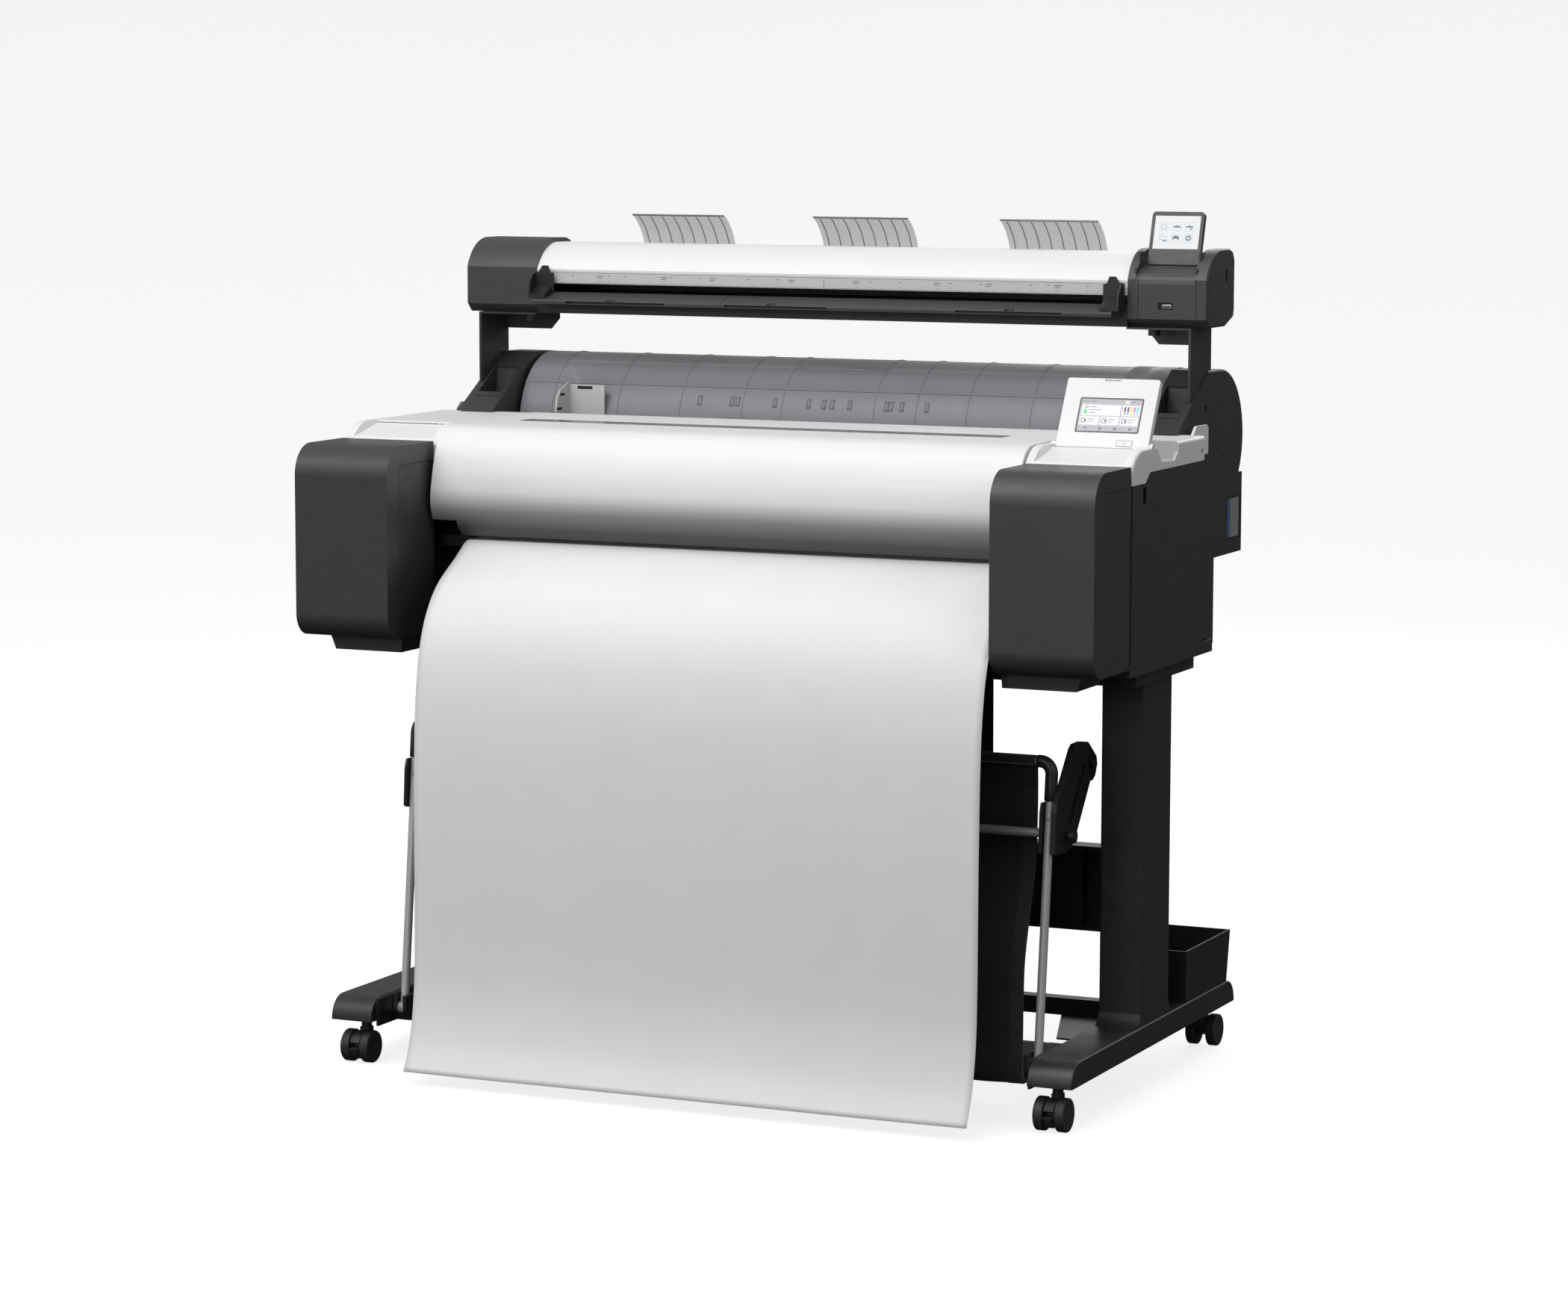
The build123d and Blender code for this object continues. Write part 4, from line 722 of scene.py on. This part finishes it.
def scanner_details():
    """USB port and raised frame on the right cap's front, and the holes in its side."""
    trim = Trim("scanner_cap_details", "machine", "dark_plastic")
    trim.facing_front(rounded(549.4, 1160.4, 571.6, 1170.6, 0.8), 524.4, -0.8, GAP_BLACK)
    trim.facing_front(rounded(555, 1162.6, 569, 1168.4, 0.8), 523.6, -1.0, STEEL)
    trim.facing_front(rounded(556, 1163.4, 568, 1165.6, 0.4), 522.6, -0.3, GAP_BLACK)
    seam, open_above = rounded(517, 1141, 609, 1212, 9, steps=5), 1206
    for start, end in zip(seam, seam[1:] + seam[:1]):
        if max(start[1], end[1]) <= open_above:
            trim.facing_front(thin_line(start, end, 0.45), CAP_FRONT, -0.12, GAP_BLACK)
    for depth, z, radius in ((534, 1190, 3.6), (534, 1150, 3.4), (636, 1228, 3.4)):
        trim.facing_side(disc(depth, z, radius), CAP_OUTER - 0.4, 0.5, GAP_BLACK)
    trim.done()


# ------------------------------------------------------------------ roll unit trim
def on_cover(x, radius, angle):
    """A point on the roll cover, at an angle from the rear towards the top."""
    return at(x, ROLL_AXIS[0] + radius * cos(radians(angle)), ROLL_AXIS[1] + radius * sin(radians(angle)))


def curved_bar(trim, xs, radii, angles, material, steps=10):
    """A bar that follows the roll cover's curve."""
    rows = []
    for i in range(steps + 1):
        angle = angles[0] + (angles[1] - angles[0]) * i / steps
        rows.append([on_cover(xs[0], radii[0], angle), on_cover(xs[1], radii[0], angle),
                     on_cover(xs[1], radii[1], angle), on_cover(xs[0], radii[1], angle)])
    trim.grid(rows, material, closed=True)


def roll_cover_trim():
    """The wide band, the long plate and the row of small plates on the smoked cover."""
    trim = Trim("roll_cover_trim", "roll_lid", "smoke_plastic")
    top = ROLL_COVER_RADIUS
    for x0, x1, a0, a1 in ((472, 539, 60.5, 174), (-82, 75, 112, 118)):
        curved_bar(trim, (x0, x1), (top - 0.4, top + 1.3), (a0, a1), ROLL_SMOKE, steps=40)
    for x in (-228, -172, -162, -98, -40, -14, 0, 30, 92, 100, 118, 160):
        curved_bar(trim, (x, x + 7.5), (top - 0.4, top + 0.6), (150.5, 158.5), ROLL_SMOKE, steps=4)
    trim.done()


def roll_bracket():
    """Pale bracket that stands on the casing in front of the roll cover, on the left."""
    trim = Trim("roll_holder_bracket", "machine", "grey_plastic")
    x, rear, foot, wall = -447.0, 535.0, 962.5, 2.5
    side_outline = [(484, foot), (484, 985), (488, 1001), (498, 1012), (512, 1017), (526, 1023),
                    (rear, 1019), (rear, foot)]
    trim.facing_side(side_outline, x - wall, wall, HOLDER_GREY)
    trim.facing_front(rounded(x - wall, foot, x + 61, 1019.5, 2), rear - 3, 3, HOLDER_GREY)
    trim.facing_front(rounded(x + 13, 1012.5, x + 40, 1017.5, 0.8), rear - 3.1, 0.4, GAP_BLACK)
    for z, depth in ((981, 487), (1003, 497)):
        trim.facing_side(box_outline(depth, z, depth + 16, z + 4), x - 0.3, 0.5, GAP_BLACK)
    soften(trim.done(), 0.0006)


def side_seams():
    """Shadow lines between the roll casings' mouldings, and a plain label on the right one."""
    trim = Trim("roll_casing_seams", "machine", "dark_plastic")
    arc = [(585, 960), (615, 953), (642, 943), (663, 933.5), (681, 923), (693, 907)]
    front = [(636, 1065), (636, 1015), (603, 978), (607, 961)]
    low_box = [(636, 790), (636, 779)]
    for hand in (-1, 1):
        for run in (arc, front, low_box):
            for start, end in zip(run, run[1:]):
                outline = thin_line(start, end, 0.45, overrun=0.3)
                trim.facing_side(outline, hand * SIDE_FACE, hand * 0.12, GAP_BLACK)
    trim.done()
    label = Trim("roll_loading_label", "machine", "dark_plastic")
    label.facing_side(rounded(684, 800, 754, 866, 3), SIDE_FACE, 0.15, GAP_BLACK)
    label.facing_side(rounded(687, 803, 700, 863, 1), SIDE_FACE + 0.15, 0.1, LABEL_BLUE)
    label.facing_side(rounded(701, 803, 742, 863, 1), SIDE_FACE + 0.15, 0.1, LABEL_GREY)
    label.done()


def rear_details():
    """Power inlet, network sockets, vents and screws on the back, all plain."""
    trim = Trim("rear_connectors", "machine", "dark_plastic")
    rim = REAR_FACE + 1.2
    trim.facing_front(rounded(-500, 700, -462, 730, 3), REAR_FACE, 1.2, BLACK_TRIM)
    trim.facing_front(rounded(-496, 704, -466, 726, 4), rim, 0.36, GAP_BLACK)
    for pin in (-489, -481, -473):
        trim.facing_front(box_outline(pin - 1, 711, pin + 1, 719), rim, 0.96, STEEL)
    for x0 in (-440, -415):
        trim.facing_front(rounded(x0, 704, x0 + 18, 722, 1.5), REAR_FACE, 0.72, STEEL)
        trim.facing_front(box_outline(x0 + 3, 707, x0 + 15, 719), REAR_FACE + 0.7, 0.36, GAP_BLACK)
    for row in range(9):
        for column in range(14):
            x, z = 300 + column * 13, 690 + row * 8
            trim.facing_front(rounded(x, z, x + 9, z + 3, 1.4, steps=3), REAR_FACE, 0.18, GAP_BLACK)
    for x in (-530, -200, 200, 530):
        for z in (684, 764):
            trim.facing_front(disc(x, z, 4), REAR_FACE, 0.84, STEEL)
            slot = box_outline(x - 2.6, z - 0.5, x + 2.6, z + 0.5)
            trim.facing_front(slot, REAR_FACE + 0.85, 0.12, GAP_BLACK)
    trim.done()


def body_details():
    """Caster stem sleeves, and the printed frame round the power button."""
    stem_x, stem_radius, stem_heights = 570, 5.3, (61.5, 68)
    for hand, side in ((-1, "left"), (1, "right")):
        for end, depth in (("front", 73.0), ("rear", 700.4)):
            stem = Trim(f"{end}_{side}_caster_stem_sleeve", "machine", "steel")
            rows = [[at(a, b, z) for a, b in disc(hand * stem_x, depth, stem_radius)] for z in stem_heights]
            stem.grid(rows, STEM_STEEL, closed=True)
            stem.done()
    outline = Trim("power_button_outline", "control_panel", "white_plastic")
    button = Board("power_button", PANEL_LEAN, outline)
    w, h = button.width, button.height
    outer = rounded(-1.1, -1.1, w + 1.1, h + 1.1, 2)
    inner = rounded(-0.55, -0.55, w + 0.55, h + 0.55, 1.5)
    for i in range(len(outer)):
        j = (i + 1) % len(outer)
        button.draw([outer[i], outer[j], inner[j], inner[i]], WHITE_SHADE, (-0.32, -0.25))
    outline.done()


# ------------------------------------------------------------------ basket
BASKET_PIVOT = (110.5, 78.0)      # depth and height
BASKET_LEAN = radians(6.2)
ROD_X = 524.0
ROD_LENGTH = 445.0                # from the pivot up to the top tube


def on_basket(x, along):
    """A point of the basket frame's leaning plane."""
    return at(x, BASKET_PIVOT[0] + along * sin(BASKET_LEAN),
              BASKET_PIVOT[1] + along * cos(BASKET_LEAN))


def tube_rows(path, radius, steps=20):
    """Rings of points round a path."""
    rows = []
    for i, point in enumerate(path):
        along = (path[min(i + 1, len(path) - 1)] - path[max(i - 1, 0)]).normalized()
        side = along.cross(Vector((0, 1, 0))).normalized()
        other = along.cross(side)
        rows.append([point + (side * cos(2 * pi * k / steps) + other * sin(2 * pi * k / steps)) * radius * MM
                     for k in range(steps)])
    return rows


def elbow_sleeves():
    """Black sleeves over the tube's elbows, and a small screw below each."""
    bend, radius, lip_radius, screw_height = 18.0, 9.4, 8.4, 362
    for hand, side in ((-1, "left"), (1, "right")):
        path = [on_basket(hand * ROD_X, a) for a in (388, 389.5, 405, ROD_LENGTH - bend)]
        for i in range(1, 9):
            angle = radians(90 * i / 8)
            path.append(on_basket(hand * (ROD_X - bend + bend * cos(angle)),
                                  ROD_LENGTH - bend + bend * sin(angle)))
        path += [on_basket(hand * x, ROD_LENGTH) for x in (503, 501.5)]
        rows, lips = tube_rows(path, radius), tube_rows(path, lip_radius)
        rows[0], rows[-1] = lips[0], lips[-1]
        sleeve = Trim(f"{side}_elbow_sleeve", "basket", "black_plastic")
        sleeve.grid(rows, BLACK_TRIM, closed=True)
        sleeve.done()
        screw = Trim(f"{side}_tube_screw", "basket", "steel")
        middle = on_basket(hand * ROD_X, screw_height)
        for size, face, rise, material in ((2.4, 6.2, 0.9, STEM_STEEL), (1.0, 7.1, 0.1, GAP_BLACK)):
            screw.slab([middle + Vector((a, -face, b)) * MM for a, b in disc(0, 0, size, 16)],
                       Vector((0, -rise * MM, 0)), material)
        screw.done()


def smooth_line(points, spacing=9.0):
    """A rounded line through points given in millimetres, sampled about every spacing."""
    line = []
    for i in range(len(points) - 1):
        p0, p1, p2, p3 = (Vector(points[max(0, min(k, len(points) - 1))]) for k in (i - 1, i, i + 1, i + 2))
        count = max(2, int((p2 - p1).length / spacing))
        for step in range(count):
            t = step / count
            line.append(0.5 * ((2 * p1) + (p2 - p0) * t + (2 * p0 - 5 * p1 + 4 * p2 - p3) * t * t
                               + (3 * p1 - p0 - 3 * p2 + p3) * t ** 3))
    line.append(Vector(points[-1]))
    return line


def walk(line):
    """Each point of a line, with the line's direction there and its length so far."""
    length = 0.0
    for i, point in enumerate(line):
        before, after = line[max(i - 1, 0)], line[min(i + 1, len(line) - 1)]
        length += (point - line[i - 1]).length if i else 0.0
        yield point, (after - before).normalized(), length


def ripple(u, v):
    """Soft standing waves that make hanging material uneven, from -1 to 1."""
    return (0.5 * sin(3.1 * u + 1.3 * v + 0.4) + 0.3 * sin(7.3 * u - 2.1 * v + 1.9)
            + 0.2 * sin(12.7 * u + 4.4 * v + 3.0))


# Cloth's way down the front and under the stand, then up the rear straps: depth and height.
CLOTH_FRONT = [(166.0, 509), (166.0, 480), (165.5, 440), (162, 381), (152, 340), (121, 240), (115, 173),
               (113, 110), (108, 66), (114, 52), (150, 53), (220, 63), (280, 78)]
CLOTH_REAR = [(280, 78), (297, 96), (302, 180), (304, 400), (302, 616)]
CLOTH_HALF = 499.5
STRAP_HALF = 374.5


def cloth_rows(points, half_width, lift, columns):
    """Rows of a hanging cloth, a little slack between its edges."""
    line = smooth_line(points)
    rows = []
    for i, (point, along, length) in enumerate(walk(line)):
        calm = min(1.0, i / 6.0, (len(line) - 1 - i) / 6.0)
        row = []
        for k in range(columns + 1):
            share = 2 * k / columns - 1
            push = lift * calm * ripple(share * 2.4, length / 160.0) * (1 - 0.6 * share ** 8)
            row.append(at(share * half_width, point.x - along.y * push, point.y + along.x * push))
        rows.append(row)
    return rows


def basket_cloth():
    """The cloth, looped over the top tube, with its edge binding and stitching."""
    top = on_basket(0, ROD_LENGTH)
    loop_depth, loop_height, loop_radius = (top.y - FRONT) / MM, top.z / MM, 8.2
    columns = 90
    trim = Trim("basket_fabric", None, "black_cloth")
    front = cloth_rows(CLOTH_FRONT, CLOTH_HALF, 2.4, columns)
    loop = []
    for i in range(15):
        angle = radians(-25 + 250 * i / 14)
        depth, height = loop_depth - loop_radius * cos(angle), loop_height + loop_radius * sin(angle)
        loop.append([at((2 * k / columns - 1) * CLOTH_HALF, depth, height) for k in range(columns + 1)])
    trim.grid(loop + front[2:], CLOTH_BLACK)
    trim.grid(cloth_rows(CLOTH_REAR, STRAP_HALF, 1.6, 66), CLOTH_BLACK)
    piece = trim.done()
    thicken(piece, "cloth_thickness", 1.1)
    bpy.context.view_layer.update()
    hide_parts("basket_cloth")
    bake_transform(piece)
    bands = Trim("basket_fabric_binding", None, "black_cloth")
    stitches = Trim("basket_fabric_stitches", None, "black_cloth")
    for edge, inward in ((0, 2), (columns, columns - 2)):
        for first, second in zip(front[3:], front[4:]):
            corners = [first[edge], first[inward], second[inward], second[edge]]
            normal = (corners[1] - corners[0]).cross(corners[3] - corners[0]).normalized()
            if normal.y > 0:
                normal = -normal
            bands.slab([c + normal * 0.6 * MM for c in corners], normal * 0.5 * MM, BINDING)
            middle = first[inward] * 0.75 + first[edge] * 0.25
            ahead = second[inward] * 0.75 + second[edge] * 0.25
            along = (ahead - middle).normalized()
            across = along.cross(normal).normalized() * 0.35 * MM
            for share in (0.1, 0.6):
                a = middle + (ahead - middle) * share + normal * 1.1 * MM
                b = a + along * 2.6 * MM
                stitches.slab([a - across, a + across, b + across, b - across], normal * 0.25 * MM, THREAD)
    for k in range(200):
        x = -495 + k * 4.95
        stitches.facing_front(box_outline(x, 508.0, x + 2.8, 508.6), 158.2, -0.3, THREAD)
    for part in (bands.done(), stitches.done()):
        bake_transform(part)


# ------------------------------------------------------------------ printed sheet
PAPER_SLOPE = radians(18.0)
NIP = (345.0, 859.6)              # where the feed roller holds the sheet: depth and height
FALL_POINTS = [(145, 804.5), (108, 782), (52, 748), (20, 714), (-2, 672), (-16, 616), (-24, 540),
               (-28, 400), (-29, 200), (-34, 125), (-47, 65), (-67.3, 20.2)]


def hanging_paper():
    """The sheet from the roll, over the feed roller and the platen, and down to just above the floor."""
    low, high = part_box("paper_sheet")
    slope_end = 180
    entry = NIP[1] + (slope_end - NIP[0]) * tan(PAPER_SLOPE)
    points = [(638, 858.6), (500, 859.1), (360, 859.5), NIP, (262, (NIP[1] + entry) / 2), (slope_end, entry)]
    rows, columns = [], 72
    for point, along, length in walk(smooth_line(points + FALL_POINTS, spacing=11.0)):
        free = max(0.0, min(1.0, (length - 700) / 500))
        row = []
        for k in range(columns + 1):
            share = 2 * k / columns - 1
            push = free * (1.1 * ripple(share * 1.3, length / 900.0) + 1.6 * share ** 6)
            x = low.x + (high.x - low.x) * k / columns
            row.append(Vector((x, FRONT + (point.x + along.y * push) * MM, (point.y - along.x * push) * MM)))
        rows.append(row)
    trim = Trim("hanging_paper", "machine", "paper")
    trim.grid(rows, PAPER)
    piece = trim.done()
    thicken(piece, "paper_thickness", 0.25)
    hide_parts("paper_sheet")


# ------------------------------------------------------------------ stage, light and camera
def stage():
    """A pale round floor that curves up into a wall all round; diffuse and glossy rays pass through it."""
    pale = Look("pale_backdrop", 0.8)
    pale.colour(pale.ramp(pale.noise(0.7, 2.0), [(0.3, grey(0.30)), (0.7, grey(0.31))]))
    pale.shader.inputs["Emission Color"].default_value = (1, 1, 1, 1)
    pale.shader.inputs["Emission Strength"].default_value = 0.80
    floor_edge, bend, wall_top, steps = 11.0, 4.0, 9.0, 96
    profile = [(0.01, 0.0), (4.0, 0.0), (floor_edge, 0.0)]
    profile += [(floor_edge + bend * sin(radians(10 * i)), bend - bend * cos(radians(10 * i)))
                for i in range(1, 10)]
    profile.append((floor_edge + bend, wall_top))
    mesh = bmesh.new()
    rings = [[mesh.verts.new((x, y, z)) for x, y in disc(0, 0, r, steps)] for r, z in profile]
    for low, high in zip(rings, rings[1:]):
        for k in range(steps):
            n = (k + 1) % steps
            mesh.faces.new((low[k], low[n], high[n], high[k])).smooth = True
    mesh.faces.new(rings[0])
    bmesh.ops.recalc_face_normals(mesh, faces=mesh.faces)
    data = bpy.data.meshes.new("backdrop")
    mesh.to_mesh(data)
    mesh.free()
    data.materials.append(pale.material)
    backdrop = bpy.data.objects.new("backdrop", data)
    backdrop.visible_diffuse = False
    backdrop.visible_glossy = False
    bpy.context.scene.collection.objects.link(backdrop)


def softbox(name, place, target, size, power):
    """A rectangular area light, in metres and watts, turned to a target."""
    data = bpy.data.lights.new(name, "AREA")
    data.shape = "RECTANGLE"
    data.size, data.size_y = size
    data.energy = power
    lamp = bpy.data.objects.new(name, data)
    lamp.location = place
    lamp.rotation_euler = (Vector(target) - Vector(place)).to_track_quat("-Z", "Y").to_euler()
    bpy.context.scene.collection.objects.link(lamp)


def studio():
    """A soft sky that is bright overhead and dark below, with six large soft boxes."""
    scene = bpy.context.scene
    world = bpy.data.worlds.new("studio_world")
    world.use_nodes = True
    nodes, links = world.node_tree.nodes, world.node_tree.links
    place = nodes.new("ShaderNodeTexCoord")
    parts = nodes.new("ShaderNodeSeparateXYZ")
    links.new(place.outputs["Generated"], parts.inputs["Vector"])
    sky = nodes.new("ShaderNodeValToRGB")
    set_stops(sky, [(0.0, grey(0.03)), (0.47, grey(0.05)), (0.55, grey(0.20)), (1.0, grey(0.50))])
    lift = nodes.new("ShaderNodeMapRange")
    lift.inputs["From Min"].default_value = -1
    links.new(parts.outputs["Z"], lift.inputs["Value"])
    links.new(lift.outputs["Result"], sky.inputs["Fac"])
    links.new(sky.outputs["Color"], nodes["Background"].inputs["Color"])
    scene.world = world
    softbox("key_above", (0.2, -0.9, 4.4), (0, 0.0, 0.8), (4.0, 2.4), 38)
    softbox("front_soft", (-1.1, -3.4, 4.2), (0, 0, 0.7), (4.0, 2.6), 118)
    softbox("front_fill", (0.2, -6.2, 2.0), (0, 0, 0.7), (4.0, 2.0), 60)
    softbox("side_soft", (4.6, -1.6, 3.2), (0.4, 0, 0.7), (2.4, 2.4), 32)
    softbox("left_soft", (-4.8, -2.6, 1.8), (0, 0, 0.7), (2.2, 2.4), 34)
    softbox("rear_soft", (0.5, 4.6, 3.2), (0, 0, 0.8), (4.0, 2.4), 80)
    scene.view_settings.view_transform = "Standard"


CAMERA_PLACE = (2868.59, -6000.59, 1493.02)   # millimetres: width, depth and height
CAMERA_YAW, CAMERA_PITCH, CAMERA_ROLL = 24.23, 7.06, -0.10
LENS, SENSOR = 105.19, 36.0


def camera():
    """The photograph's view: turned left by the yaw, tipped down by the pitch and rolled about its axis."""
    data = bpy.data.cameras.new("camera")
    data.lens = LENS
    data.sensor_width = SENSOR
    data.clip_end = 60
    eye = bpy.data.objects.new("camera", data)
    yaw, pitch = radians(CAMERA_YAW), radians(CAMERA_PITCH)
    forward = Vector((-sin(yaw) * cos(pitch), cos(yaw) * cos(pitch), -sin(pitch)))
    right = Vector((cos(yaw), sin(yaw), 0))
    up = right.cross(forward)
    roll = Matrix.Rotation(radians(CAMERA_ROLL), 3, forward)
    right, up = roll @ right, roll @ up
    turn = Matrix((right, up, -forward)).transposed().to_4x4()
    eye.matrix_world = Matrix.Translation(at(*CAMERA_PLACE)) @ turn
    bpy.context.scene.collection.objects.link(eye)
    bpy.context.scene.camera = eye


camera()
operation_picture()
power_symbol()
touch_picture()
scanner_scale()
scanner_details()
guide_ribs()
roll_cover_trim()
roll_bracket()
side_seams()
rear_details()
body_details()
elbow_sleeves()
basket_cloth()
hanging_paper()
stage()
studio()
